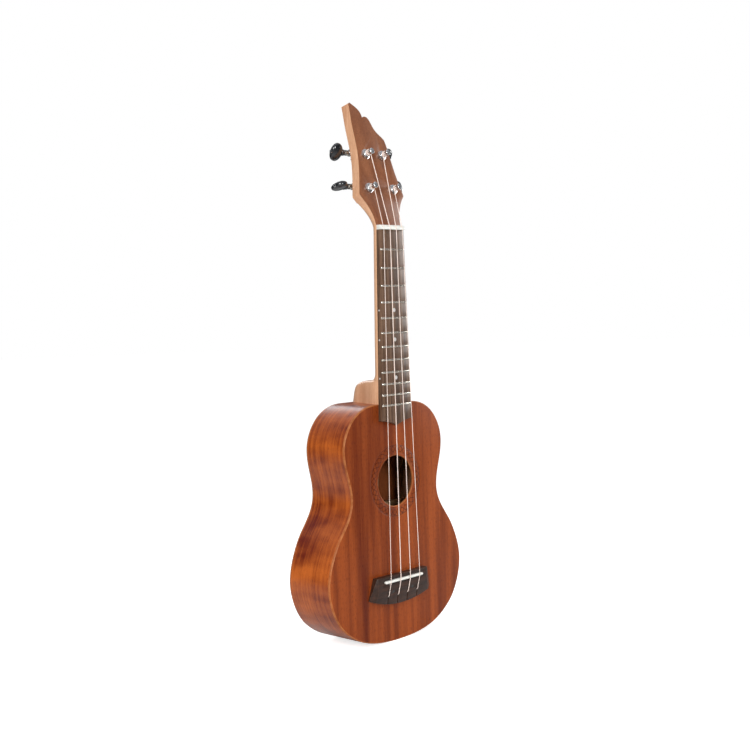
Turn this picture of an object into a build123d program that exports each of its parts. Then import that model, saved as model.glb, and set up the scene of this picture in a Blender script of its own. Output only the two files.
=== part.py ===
from build123d import *
import os
from math import atan, cos, pi, radians, sin

# A soprano ukulele with a feather-shaped headstock and four sealed geared tuners.
# Frame: +Z runs up the neck, the soundboard faces -Y, +X is the A-string side.
# The tail end stands at z = 0, and y = 0 is midway between the front of the strings and the back.
os.makedirs("parts", exist_ok=True)

# ---- driving dimensions, in millimetres and degrees ----
SCALE_LENGTH = 346.0
COMPENSATION = 1.5
FRET_COUNT = 12
BODY_LENGTH = 239.0
FRET_12_TO_BODY = 1.5
DEPTH_AT_TAIL = 58.0
DEPTH_AT_NECK = 52.0
PLATE = 2.0
LINING = 4.0
HOLE_RADIUS = 25.4
HOLE_Z = 161.0
HEAD_ANGLE = 14.5
HEAD_CORE = 10.0
VENEER = 1.0
NUT_LENGTH = 34.0
NUT_THICKNESS = 4.5
BOARD_WIDTH_AT_BODY = 43.2
BOARD_THICKNESS = 4.7
FRET_HEIGHT = 0.9
FRET_WIDTH = 2.0
NUT_SLOT_HEIGHT = 6.3
SADDLE_TOP = 9.4
BRIDGE_HEIGHT = 6.5
NUT_STRING_SPACING = 8.9
SADDLE_STRING_SPACING = 14.2
POST_RADIUS = 3.0
WAIST_RADIUS = 2.4
GEAR_TEETH = 14
WORM_PITCH = 1.9
WORM_OFFSET = 6.5

# ---- places that follow from them ----
STRING_DIAMETERS = {"g": 0.61, "c": 0.86, "e": 0.79, "a": 0.66}
STRING_FRONT = SADDLE_TOP + 0.86 + 0.08
TOP_Y = (STRING_FRONT - DEPTH_AT_TAIL) / 2
FRET_12_Z = BODY_LENGTH - FRET_12_TO_BODY
NUT_Z = FRET_12_Z + SCALE_LENGTH / 2
SADDLE_Z = NUT_Z - SCALE_LENGTH - COMPENSATION
HEAD_Z = NUT_Z + NUT_THICKNESS
BACK_TILT = atan((DEPTH_AT_TAIL - DEPTH_AT_NECK) / BODY_LENGTH)
BACK_FACE = Plane(
    origin=(0, TOP_Y + DEPTH_AT_TAIL, 0),
    x_dir=(1, 0, 0),
    z_dir=(0, cos(BACK_TILT), sin(BACK_TILT)),
)
BACK_INSIDE = BACK_FACE.offset(-PLATE)
LEAN = radians(HEAD_ANGLE)
HEAD = Plane(origin=(0, TOP_Y, HEAD_Z), x_dir=(1, 0, 0), z_dir=(0, -cos(LEAN), sin(LEAN)))


def facing(y):
    """The plane across the body at one depth, with X across and Z up."""
    return Plane.XZ.offset(-y)


def on_head(u, v, w):
    """A plane parallel to the headstock face: u across, v up the head, w out of its front."""
    return Plane(origin=HEAD.from_local_coords((u, v, w)), x_dir=HEAD.x_dir, z_dir=HEAD.z_dir)


def fret_z(number):
    """Height of a fret, from the equal-tempered scale."""
    return NUT_Z - SCALE_LENGTH * (1 - 2 ** (-number / 12))


def board_half_width(z):
    """Half of the fretboard's width, which tapers evenly along the neck."""
    share = (NUT_Z - z) / (NUT_Z - FRET_12_Z)
    return (NUT_LENGTH + (BOARD_WIDTH_AT_BODY - NUT_LENGTH) * share) / 2


def keep(piece, name):
    """Labels a finished piece and writes it under its node's name."""
    piece.label = name
    export_step(piece, f"parts/{name}.step")


# ================= body =================
# One closed outline serves the soundboard, the back and the sides: a short flat for the neck,
# then an upper bout, a waist and a lower bout.
# A point of the flank is followed by the outline's direction there. An inset outline has the
# same points, moved inwards square to that direction.
SHOULDER = 24.0
FLANK = (
    ((SHOULDER, BODY_LENGTH), (1, 0)),
    ((52.5, 231.0), (0.82, -0.57)),
    ((71.4, 196.0), (0, -1)),
    ((62.4, 148.5), (0, -1)),
    ((84.0, 107.0), (0.5, -0.87)),
    ((96.7, 67.5), (0, -1)),
    ((77.5, 23.0), (-0.74, -0.67)),
    ((0, 0), (-1, 0)),
)


def draw_body(inset=0.0):
    """The body's outline, or one a little smaller all round."""
    points = [(x + inset * way_z, z - inset * way_x) for (x, z), (way_x, way_z) in FLANK]
    with BuildSketch() as figure:
        with BuildLine():
            shoulder = Line((0, BODY_LENGTH - inset), points[0])
            flank = Spline(*points, tangents=[way for _, way in FLANK])
            mirror(shoulder, about=Plane.YZ)
            mirror(flank, about=Plane.YZ)
        make_face()
    return figure.sketch


BODY = draw_body()
INSIDE = draw_body(PLATE)
LINED = draw_body(PLATE + LINING)
BRACED = draw_body(PLATE + LINING + 0.4)
TOP_INSIDE_Y = TOP_Y + PLATE
BLOCK_THICKNESS = 14.0
BLOCK_WIDTH = 46.0
TAIL_BLOCK_THICKNESS = 11.0

with BuildPart() as soundboard:
    with BuildSketch(facing(TOP_Y)):
        add(BODY)
        with Locations((0, HOLE_Z)):
            Circle(HOLE_RADIUS, mode=Mode.SUBTRACT)
    extrude(amount=-PLATE)
keep(soundboard.part, "soundboard")

with BuildPart() as back:
    with BuildSketch(facing(TOP_Y)):
        add(BODY)
    extrude(amount=-2 * DEPTH_AT_TAIL)
    split(bisect_by=BACK_FACE, keep=Keep.BOTTOM)
    split(bisect_by=BACK_INSIDE, keep=Keep.TOP)
keep(back.part, "back")

for side_name, half in (("side_left", Keep.BOTTOM), ("side_right", Keep.TOP)):
    with BuildPart() as side:
        with BuildSketch(facing(TOP_INSIDE_Y)):
            add(BODY)
            add(INSIDE, mode=Mode.SUBTRACT)
        extrude(amount=-DEPTH_AT_TAIL)
        split(bisect_by=BACK_INSIDE, keep=Keep.BOTTOM)
        split(bisect_by=Plane.YZ, keep=half)
    keep(side.part, side_name)

# The two end blocks join the sides, and carry the neck and the tail.
NECK_BLOCK_Z = BODY_LENGTH - PLATE - BLOCK_THICKNESS
for block_name, low, high in (
    ("neck_block", NECK_BLOCK_Z, BODY_LENGTH),
    ("tail_block", 0.0, PLATE + TAIL_BLOCK_THICKNESS),
):
    with BuildPart() as block:
        with BuildSketch(facing(TOP_INSIDE_Y)):
            with Locations((0, (low + high) / 2)):
                Rectangle(BLOCK_WIDTH, high - low)
            add(INSIDE, mode=Mode.INTERSECT)
        extrude(amount=-DEPTH_AT_TAIL)
        split(bisect_by=BACK_INSIDE, keep=Keep.BOTTOM)
    keep(block.part, block_name)


# Linings are the strips glued in the corners between the sides and the two plates.
LINING_HEIGHT = 6.0


def draw_lining():
    with BuildSketch() as strip:
        add(INSIDE)
        add(LINED, mode=Mode.SUBTRACT)
        for low, high in ((NECK_BLOCK_Z, BODY_LENGTH), (0.0, PLATE + TAIL_BLOCK_THICKNESS)):
            with Locations((0, (low + high) / 2)):
                Rectangle(BLOCK_WIDTH, high - low, mode=Mode.SUBTRACT)
    return strip.sketch


STRIP = draw_lining()

with BuildPart() as top_linings:
    with BuildSketch(facing(TOP_INSIDE_Y)):
        add(STRIP)
    extrude(amount=-LINING_HEIGHT)
keep(top_linings.part, "top_linings")

with BuildPart() as back_linings:
    with BuildSketch(facing(TOP_INSIDE_Y)):
        add(STRIP)
    extrude(amount=-DEPTH_AT_TAIL)
    split(bisect_by=BACK_INSIDE, keep=Keep.BOTTOM)
    split(bisect_by=BACK_INSIDE.offset(-LINING_HEIGHT), keep=Keep.TOP)
keep(back_linings.part, "back_linings")

# Braces are bars across the inside of each plate, and their ends stop at the linings.
BRACE_WIDTH = 6.0
BRACE_HEIGHT = 8.0


def draw_braces(heights):
    with BuildSketch() as bars:
        for z in heights:
            with Locations((0, z)):
                Rectangle(200, BRACE_WIDTH)
        add(BRACED, mode=Mode.INTERSECT)
    return bars.sketch


with BuildPart() as top_braces:
    with BuildSketch(facing(TOP_INSIDE_Y)):
        add(draw_braces((HOLE_Z + 36, HOLE_Z - 34)))
    extrude(amount=-BRACE_HEIGHT)
keep(top_braces.part, "top_braces")

with BuildPart() as back_braces:
    with BuildSketch(facing(TOP_INSIDE_Y)):
        add(draw_braces((200, 128, 62)))
    extrude(amount=-DEPTH_AT_TAIL)
    split(bisect_by=BACK_INSIDE, keep=Keep.BOTTOM)
    split(bisect_by=BACK_INSIDE.offset(-BRACE_HEIGHT), keep=Keep.TOP)
keep(back_braces.part, "back_braces")

with BuildPart() as bridge_patch:
    with BuildSketch(facing(TOP_INSIDE_Y)):
        with Locations((0, SADDLE_Z - 9)):
            RectangleRounded(96, 30, 3)
    extrude(amount=-1.6)
keep(bridge_patch.part, "bridge_patch")

LABEL_THICKNESS = 0.25
with BuildPart() as label:
    with BuildSketch(facing(TOP_INSIDE_Y)):
        with Locations((0, HOLE_Z + 2)):
            RectangleRounded(58, 40, 2)
    extrude(amount=-DEPTH_AT_TAIL)
    split(bisect_by=BACK_INSIDE, keep=Keep.BOTTOM)
    split(bisect_by=BACK_INSIDE.offset(-LABEL_THICKNESS), keep=Keep.TOP)
keep(label.part, "label")


# ================= tuner layout =================
# u, v of each post on the headstock, and the side that its button is on.
LOWER_POST = (17.1, 37.5)
UPPER_POST = (11.6, 72.8)
TUNERS = {
    "g": (-LOWER_POST[0], LOWER_POST[1], -1),
    "c": (-UPPER_POST[0], UPPER_POST[1], -1),
    "e": (UPPER_POST[0], UPPER_POST[1], 1),
    "a": (LOWER_POST[0], LOWER_POST[1], 1),
}
BARREL_RADIUS = 4.0
HEAD_HOLE_RADIUS = 4.2
EAR_V = 14.5
EAR_WIDTH = 5.6
FRAME_THICKNESS = 1.4
SCREW_RADIUS = 1.0
SCREW_REACH = 7.0


# ================= neck =================
# The shaft is a D in section. The heel is cut from a block that meets the body, and the
# headstock is a slab that leans back behind the nut.
def draw_head():
    with BuildSketch() as outline:
        with BuildLine():
            Line((-17.2, 0), (17.2, 0))
            Spline((17.2, 0), (20.4, 14.5), (31.8, 31.0), tangents=[(0, 1), (0.75, 0.66)])
            Spline((31.8, 31.0), (26.0, 56.5), (20.8, 90.0), tangents=[(-0.25, 1), (-0.3, 1)])
            Spline((20.8, 90.0), (9.4, 100.6), (3.0, 112.2), tangents=[(-0.8, 0.9), (-0.8, 0.7)])
            Spline((3.0, 112.2), (-0.4, 113.2), (-4.4, 111.4), tangents=[(-0.8, 0.6), (-0.6, -0.9)])
            Spline((-4.4, 111.4), (-6.2, 117.8), (-18.9, 127.0), tangents=[(0.1, 1), (-0.8, 0.55)])
            Spline((-18.9, 127.0), (-20.2, 104.0), (-21.0, 74.0), (-31.2, 31.0), tangents=[(0, -1), (-0.28, -1)])
            Spline((-31.2, 31.0), (-21.2, 16.5), (-17.2, 0), tangents=[(0.6, -0.9), (0, -1)])
        make_face()
        fillet(outline.vertices().filter_by(lambda vertex: abs(vertex.Y - 31.0) < 0.1), 3)
        fillet(outline.vertices().sort_by(Axis.Y)[-1], 1)
    return outline.sketch


def draw_section(half_width, depth):
    """The D-shaped section of the neck shaft, flat at the front."""
    with BuildSketch() as section:
        with BuildLine():
            Line((-half_width, 0), (half_width, 0))
            EllipticalCenterArc((0, 0), half_width, depth, start_angle=0, arc_size=180)
        make_face()
    return section.sketch


HEAD_OUTLINE = draw_head()
SHAFT_TOP_Z = HEAD_Z + 6.0
SHAFT_DEPTH_AT_NUT = 11.6
SHAFT_DEPTH_AT_HEEL = 13.4
HEEL_DEPTH = 51.5

with BuildPart() as neck:
    with BuildSketch(Plane.YZ):
        with BuildLine():
            Polyline(
                (TOP_Y, BODY_LENGTH),
                (TOP_Y + HEEL_DEPTH, BODY_LENGTH),
                (TOP_Y + 46.5, 259.0),
                (TOP_Y + 12.5, 263.0),
                (TOP_Y + 12.5, 275),
                (TOP_Y, 275),
                close=True,
            )
        heel_profile = make_face()
        fillet(heel_profile.vertices().sort_by_distance((46.5 + TOP_Y, 259.0))[0], 7)
        fillet(heel_profile.vertices().sort_by_distance((12.5 + TOP_Y, 263.0))[0], 6)
    extrude(amount=30, both=True)
    with BuildSketch(Plane.XY.offset(BODY_LENGTH)):
        with BuildLine():
            Line((0, TOP_Y), (board_half_width(BODY_LENGTH), TOP_Y))
            Spline(
                (board_half_width(BODY_LENGTH), TOP_Y),
                (15.8, TOP_Y + 23.5),
                (8.8, TOP_Y + 47.5),
                (0, TOP_Y + HEEL_DEPTH),
                tangents=[(0, 1), (-0.35, 1), (-0.55, 1), (-1, 0)],
            )
            mirror(about=Plane.YZ)
        make_face()
    extrude(amount=40, mode=Mode.INTERSECT)
    for z, depth in ((BODY_LENGTH, SHAFT_DEPTH_AT_HEEL), (SHAFT_TOP_Z, SHAFT_DEPTH_AT_NUT)):
        with BuildSketch(Plane.XY.offset(z).shift_origin((0, TOP_Y, z))):
            add(draw_section(board_half_width(z), depth))
    loft()
    with BuildSketch(HEAD):
        add(HEAD_OUTLINE)
    extrude(amount=-HEAD_CORE)
    with BuildSketch(HEAD):
        with Locations((0, 80)):
            Rectangle(120, 160)
    extrude(amount=20, mode=Mode.SUBTRACT)
    with BuildSketch(HEAD):
        for u, v, _ in TUNERS.values():
            with Locations((u, v)):
                Circle(HEAD_HOLE_RADIUS)
    extrude(amount=-HEAD_CORE - 5, mode=Mode.SUBTRACT)
    with BuildSketch(on_head(0, 0, -HEAD_CORE)):
        for u, v, _ in TUNERS.values():
            with Locations((u, v + EAR_V)):
                Circle(SCREW_RADIUS)
    extrude(amount=SCREW_REACH, mode=Mode.SUBTRACT)
keep(neck.part, "neck")

with BuildPart() as head_veneer:
    with BuildSketch(HEAD):
        add(HEAD_OUTLINE)
        for u, v, _ in TUNERS.values():
            with Locations((u, v)):
                Circle(HEAD_HOLE_RADIUS, mode=Mode.SUBTRACT)
    extrude(amount=VENEER)
keep(head_veneer.part, "head_veneer")

# ================= fretboard =================
# The board runs from the nut past the body joint, and ends in a shallow ogee point.
BOARD_FACE_Y = TOP_Y - BOARD_THICKNESS
TANG_WIDTH = 0.6
TANG_DEPTH = 1.6
DOT_RADIUS = 2.0
DOT_DEPTH = 0.8
DOT_FRETS = (5, 7, 10)
CORNER_Z = FRET_12_Z - 15.0
TIP_Z = FRET_12_Z - 20.5


def dot_z(number):
    """Halfway between a fret and the one before it."""
    return (fret_z(number) + fret_z(number - 1)) / 2


with BuildPart() as fretboard:
    with BuildSketch(facing(TOP_Y)):
        with BuildLine():
            Line((0, NUT_Z), (board_half_width(NUT_Z), NUT_Z))
            Line((board_half_width(NUT_Z), NUT_Z), (board_half_width(CORNER_Z), CORNER_Z))
            Spline(
                (board_half_width(CORNER_Z), CORNER_Z),
                (11.5, CORNER_Z - 1.4),
                (0, TIP_Z),
                tangents=[(-1, 0.04), (-1, -0.55)],
            )
            mirror(about=Plane.YZ)
        make_face()
    extrude(amount=BOARD_THICKNESS)
    for number in range(1, FRET_COUNT + 1):
        with BuildSketch(facing(BOARD_FACE_Y)):
            with Locations((0, fret_z(number))):
                Rectangle(60, TANG_WIDTH)
        extrude(amount=-TANG_DEPTH, mode=Mode.SUBTRACT)
    with BuildSketch(facing(BOARD_FACE_Y)):
        for number in DOT_FRETS:
            with Locations((0, dot_z(number))):
                Circle(DOT_RADIUS)
    extrude(amount=-DOT_DEPTH, mode=Mode.SUBTRACT)
    for number in DOT_FRETS:
        edge = Plane(
            origin=(-board_half_width(dot_z(number)), TOP_Y - BOARD_THICKNESS / 2, dot_z(number)),
            x_dir=(0, 1, 0),
            z_dir=(-1, 0, 0),
        )
        with BuildSketch(edge.offset(1)):
            Circle(0.9)
        extrude(amount=-2, mode=Mode.SUBTRACT)
keep(fretboard.part, "fretboard")

# Each fret is a crowned wire with a tang pressed into its slot.
with BuildPart() as frets:
    for number in range(1, FRET_COUNT + 1):
        half = board_half_width(fret_z(number)) - 0.3
        with BuildSketch(Plane.YZ.offset(-half)):
            with Locations((BOARD_FACE_Y, fret_z(number))):
                Ellipse(FRET_HEIGHT, FRET_WIDTH / 2)
                with Locations((3, 0)):
                    Rectangle(6, 6, mode=Mode.SUBTRACT)
                with Locations((TANG_DEPTH / 2, 0)):
                    Rectangle(TANG_DEPTH, TANG_WIDTH)
        extrude(amount=2 * half)
keep(frets.part, "frets")

with BuildPart() as position_dots:
    with BuildSketch(facing(BOARD_FACE_Y)):
        for number in DOT_FRETS:
            with Locations((0, dot_z(number))):
                Circle(DOT_RADIUS)
    extrude(amount=-DOT_DEPTH)
keep(position_dots.part, "position_dots")

with BuildPart() as side_dots:
    for number in DOT_FRETS:
        edge = Plane(
            origin=(-board_half_width(dot_z(number)), TOP_Y - BOARD_THICKNESS / 2, dot_z(number)),
            x_dir=(0, 1, 0),
            z_dir=(-1, 0, 0),
        )
        with BuildSketch(edge.offset(-1)):
            Circle(0.9)
        extrude(amount=1)
keep(side_dots.part, "side_dots")

# ================= string runs =================
# Each string runs from a knot in the bridge over the saddle, along the board and over the nut
# to the inner side of its post, and stops just short of the turns that are wound on the post.
STRING_ORDER = ("g", "c", "e", "a")
WOUND_W = 5.8
SLOT_START_Z = 50.2
KNOT_Z = 42.6
KNOT_HEIGHT = 2.0
KNOT_RADIUS = 1.25
NUT_BREAK_Z = NUT_Z + 0.8


def spaced(index, spacing):
    return (index - 1.5) * spacing


def string_points(name):
    """The corners of one string's run, from its knot to the post."""
    index = STRING_ORDER.index(name)
    radius = STRING_DIAMETERS[name] / 2
    saddle_x = spaced(index, SADDLE_STRING_SPACING)
    nut_x = spaced(index, NUT_STRING_SPACING)
    u, v, side = TUNERS[name]
    over_saddle = Vector(saddle_x, TOP_Y - SADDLE_TOP - radius - 0.1, SADDLE_Z)
    over_nut = Vector(nut_x, TOP_Y - NUT_SLOT_HEIGHT - radius - 0.06, NUT_BREAK_Z)
    touch = HEAD.from_local_coords(Vector(u - side * (WAIST_RADIUS + radius), v, WOUND_W))
    reach = (touch - over_nut).length - 2.8
    return [
        Vector(saddle_x, TOP_Y - KNOT_HEIGHT, KNOT_Z + 1.0),
        Vector(saddle_x, TOP_Y - KNOT_HEIGHT - 0.2, KNOT_Z + 3.0),
        Vector(saddle_x, TOP_Y - 6.3, SLOT_START_Z - 0.6),
        over_saddle,
        over_nut,
        over_nut + (touch - over_nut).normalized() * reach,
    ]


for name in STRING_ORDER:
    points = string_points(name)
    radius = STRING_DIAMETERS[name] / 2
    with BuildPart() as string:
        with BuildLine() as run:
            FilletPolyline(*points, radius=[1.5, 3, 2, 2])
        with BuildSketch(Plane(origin=run.line @ 0, z_dir=run.line % 0)):
            Circle(radius)
        sweep(transition=Transition.ROUND)
        with Locations(points[0]):
            Sphere(KNOT_RADIUS)
    keep(string.part, f"string_{name}")

# ================= nut, bridge and saddle =================
with BuildPart() as nut:
    with BuildSketch(Plane.YZ.offset(-NUT_LENGTH / 2)):
        with BuildLine():
            Polyline(
                (TOP_Y, NUT_Z),
                (TOP_Y, HEAD_Z),
                (TOP_Y - 4.6, HEAD_Z),
                (TOP_Y - 7.0, NUT_Z + 1.8),
                (TOP_Y - 7.0, NUT_Z),
                close=True,
            )
        make_face()
    extrude(amount=NUT_LENGTH)
    for name in STRING_ORDER:
        points = string_points(name)
        low = TOP_Y - NUT_SLOT_HEIGHT
        fall = (points[5].Y - points[4].Y) / (points[5].Z - points[4].Z)
        slot_half = STRING_DIAMETERS[name] / 2 + 0.25
        with BuildSketch(Plane.YZ.offset(points[4].X - slot_half)):
            with BuildLine():
                Polyline(
                    (low, NUT_Z - 1),
                    (low, NUT_BREAK_Z),
                    (low + fall * 6, NUT_BREAK_Z + 6),
                    (TOP_Y - 12, NUT_BREAK_Z + 6),
                    (TOP_Y - 12, NUT_Z - 1),
                    close=True,
                )
            make_face()
        extrude(amount=2 * slot_half, mode=Mode.SUBTRACT)
keep(nut.part, "nut")

# The bridge is a trapezoid with a bowed lower edge. Its ends fall away in flat facets, its
# top slopes down behind the saddle, and each string drops through a slot to a knot pocket.
BRIDGE_TOP_Z = 68.3
BRIDGE_CORNER_Z = 46.8
BRIDGE_LOW_Z = 38.2
BRIDGE_TOP_HALF = 37.0
BRIDGE_LOW_HALF = 44.6
FACET_START = 36.0
FACET_FALL = 0.62
SLOPE_START_Z = 54.5
REAR_HEIGHT = 3.9
SADDLE_LENGTH = 55.0
SADDLE_THICKNESS = 2.6
SADDLE_SLOT_FLOOR = 3.0
BRIDGE_FACE_Y = TOP_Y - BRIDGE_HEIGHT
PLUG_X = 14.2
PLUG_Z = 52.0
PLUG_RADIUS = 1.3

with BuildPart() as bridge:
    with BuildSketch(facing(TOP_Y)):
        with BuildLine():
            Polyline(
                (-BRIDGE_LOW_HALF, BRIDGE_CORNER_Z),
                (-BRIDGE_TOP_HALF, BRIDGE_TOP_Z),
                (BRIDGE_TOP_HALF, BRIDGE_TOP_Z),
                (BRIDGE_LOW_HALF, BRIDGE_CORNER_Z),
            )
            ThreePointArc(
                (-BRIDGE_LOW_HALF, BRIDGE_CORNER_Z), (0, BRIDGE_LOW_Z), (BRIDGE_LOW_HALF, BRIDGE_CORNER_Z)
            )
        make_face()
    extrude(amount=BRIDGE_HEIGHT)
    for way in (-1, 1):
        with BuildSketch(Plane.XY.offset(BRIDGE_LOW_Z - 5)):
            with BuildLine():
                Polyline(
                    (way * FACET_START, BRIDGE_FACE_Y),
                    (way * (FACET_START + 12), BRIDGE_FACE_Y + 12 * FACET_FALL),
                    (way * (FACET_START + 12), BRIDGE_FACE_Y - 2),
                    (way * FACET_START, BRIDGE_FACE_Y - 2),
                    close=True,
                )
            make_face()
        extrude(amount=50, mode=Mode.SUBTRACT)
    with BuildSketch(Plane.YZ.offset(-60)):
        with BuildLine():
            Polyline(
                (BRIDGE_FACE_Y, SLOPE_START_Z),
                (TOP_Y - REAR_HEIGHT, BRIDGE_LOW_Z),
                (TOP_Y - REAR_HEIGHT, BRIDGE_LOW_Z - 2),
                (BRIDGE_FACE_Y - 2, BRIDGE_LOW_Z - 2),
                (BRIDGE_FACE_Y - 2, SLOPE_START_Z),
                close=True,
            )
        make_face()
    extrude(amount=120, mode=Mode.SUBTRACT)
    with BuildSketch(facing(TOP_Y - SADDLE_SLOT_FLOOR)):
        with Locations((0, SADDLE_Z)):
            SlotOverall(SADDLE_LENGTH, SADDLE_THICKNESS)
    extrude(amount=10, mode=Mode.SUBTRACT)
    with BuildSketch(facing(TOP_Y - 0.6)):
        for index in range(4):
            with Locations((spaced(index, SADDLE_STRING_SPACING), (SLOT_START_Z + BRIDGE_LOW_Z) / 2 - 1)):
                Rectangle(1.2, SLOT_START_Z - BRIDGE_LOW_Z + 2)
    extrude(amount=10, mode=Mode.SUBTRACT)
    with BuildSketch(facing(TOP_Y - 0.6)):
        for index in range(4):
            with Locations((spaced(index, SADDLE_STRING_SPACING), (KNOT_Z + BRIDGE_LOW_Z) / 2)):
                Rectangle(2.8, KNOT_Z - BRIDGE_LOW_Z + 5.2)
    extrude(amount=2.8, mode=Mode.SUBTRACT)
    with BuildSketch(facing(BRIDGE_FACE_Y)):
        with Locations((-PLUG_X, PLUG_Z), (PLUG_X, PLUG_Z)):
            Circle(PLUG_RADIUS)
    extrude(amount=-2, mode=Mode.SUBTRACT)
keep(bridge.part, "bridge")

with BuildPart() as bridge_plugs:
    with BuildSketch(facing(BRIDGE_FACE_Y)):
        with Locations((-PLUG_X, PLUG_Z), (PLUG_X, PLUG_Z)):
            Circle(PLUG_RADIUS)
    extrude(amount=-2)
    with BuildSketch(Plane.YZ.offset(-60)):
        with BuildLine():
            Polyline(
                (BRIDGE_FACE_Y, SLOPE_START_Z),
                (TOP_Y - REAR_HEIGHT, BRIDGE_LOW_Z),
                (BRIDGE_FACE_Y - 2, BRIDGE_LOW_Z),
                (BRIDGE_FACE_Y - 2, SLOPE_START_Z),
                close=True,
            )
        make_face()
    extrude(amount=120, mode=Mode.SUBTRACT)
keep(bridge_plugs.part, "bridge_plugs")

with BuildPart() as saddle:
    with BuildSketch(facing(TOP_Y - SADDLE_SLOT_FLOOR)):
        with Locations((0, SADDLE_Z)):
            SlotOverall(SADDLE_LENGTH, SADDLE_THICKNESS)
    extrude(amount=SADDLE_TOP - SADDLE_SLOT_FLOOR)
    fillet(saddle.faces().sort_by(Axis.Y)[0].edges(), SADDLE_THICKNESS / 2 - 0.15)
keep(saddle.part, "saddle")


# ================= tuners =================
# An open machine: a plate behind the head carries a barrel that comes through to a bushing, and
# two lugs that hold a worm. The button turns the worm, which drives a gear on the string post.
FRAME_HALF = 7.0
FRAME_LOW_V = -6.6
FRAME_HIGH_V = 11.0
LUG_INSIDE = 4.7
LUG_OUTSIDE = 6.2
LUG_RADIUS = 3.3
GEAR_W = -14.5
GEAR_FACE = 2.0
GEAR_TIP_RADIUS = 4.68
GEAR_ROOT_RADIUS = 3.55
JOURNAL_RADIUS = 1.8
WORM_ROOT_RADIUS = 1.6
WORM_TIP_RADIUS = 2.7
WORM_TURNS = 4
SHAFT_RADIUS = 2.75
COLLAR_START = 6.4
COLLAR_END = 11.6
RUNNING = 0.08
STEM_RADIUS = 1.75
STEM_END = 21.3
BUTTON_CENTRE = 23.8
BUTTON_LENGTH = 14.5
BUTTON_WIDTH = 18.5
BUTTON_THICKNESS = 7.6
POST_TOP_W = 11.5
BUTTON_TURN = {"g": 0.0, "c": 50.0, "e": 40.0, "a": 70.0}
HUB_RADIUS = 3.2
HUB_START = 14.0
SCREW_HEAD_RADIUS = 1.7
LEAD_ANGLE = atan(WORM_PITCH / (2 * pi * WORM_OFFSET - GEAR_TEETH * WORM_PITCH))
THREAD_HALF_AT_ROOT = 0.52
THREAD_HALF_AT_TIP = 0.22
GAP_HALF_AT_ROOT = 0.42
GAP_HALF_AT_TIP = 0.78


def tuner_plane(name, w=0.0):
    """A plane across one string post, at a height on the post's axis."""
    u, v, _ = TUNERS[name]
    return on_head(u, v, w)


def shaft_plane(name, along, turn=0.0):
    """A plane across one worm shaft, facing the button, turned about the shaft.

    At turn 0 its local x points from the shaft to the post.
    """
    u, v, side = TUNERS[name]
    centre = HEAD.from_local_coords((u + side * along, v + WORM_OFFSET, GEAR_W))
    across = HEAD.z_dir * sin(radians(turn)) - HEAD.y_dir * cos(radians(turn))
    return Plane(origin=centre, x_dir=across, z_dir=(side, 0, 0))


def gap_plane(name, angle):
    """A plane across one gap of the gear: x outwards along the gap, z along its lean."""
    u, v, _ = TUNERS[name]
    outwards = HEAD.x_dir * cos(angle) + HEAD.y_dir * sin(angle)
    onwards = HEAD.y_dir * cos(angle) - HEAD.x_dir * sin(angle)
    lean = HEAD.z_dir * cos(LEAD_ANGLE) + onwards * sin(LEAD_ANGLE)
    return Plane(origin=HEAD.from_local_coords((u, v, GEAR_W)), x_dir=outwards, z_dir=lean)


def draw_thread():
    """The worm's thread, wound about Z, with a turn crossing the X axis at z = 0."""
    length = WORM_TURNS * WORM_PITCH
    height = WORM_TIP_RADIUS - WORM_ROOT_RADIUS
    with BuildPart() as thread:
        with BuildLine(Plane.XY.offset(-length / 2)) as lead:
            Helix(pitch=WORM_PITCH, height=length, radius=WORM_ROOT_RADIUS)
        with BuildSketch(Plane(origin=lead.line @ 0, x_dir=(1, 0, 0), z_dir=lead.line % 0)):
            with BuildLine():
                Polyline(
                    (-0.3, -THREAD_HALF_AT_ROOT),
                    (height, -THREAD_HALF_AT_TIP),
                    (height, THREAD_HALF_AT_TIP),
                    (-0.3, THREAD_HALF_AT_ROOT),
                    close=True,
                )
            make_face()
        sweep(path=lead.line, is_frenet=True)
    return thread.part


THREAD = draw_thread()

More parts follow.
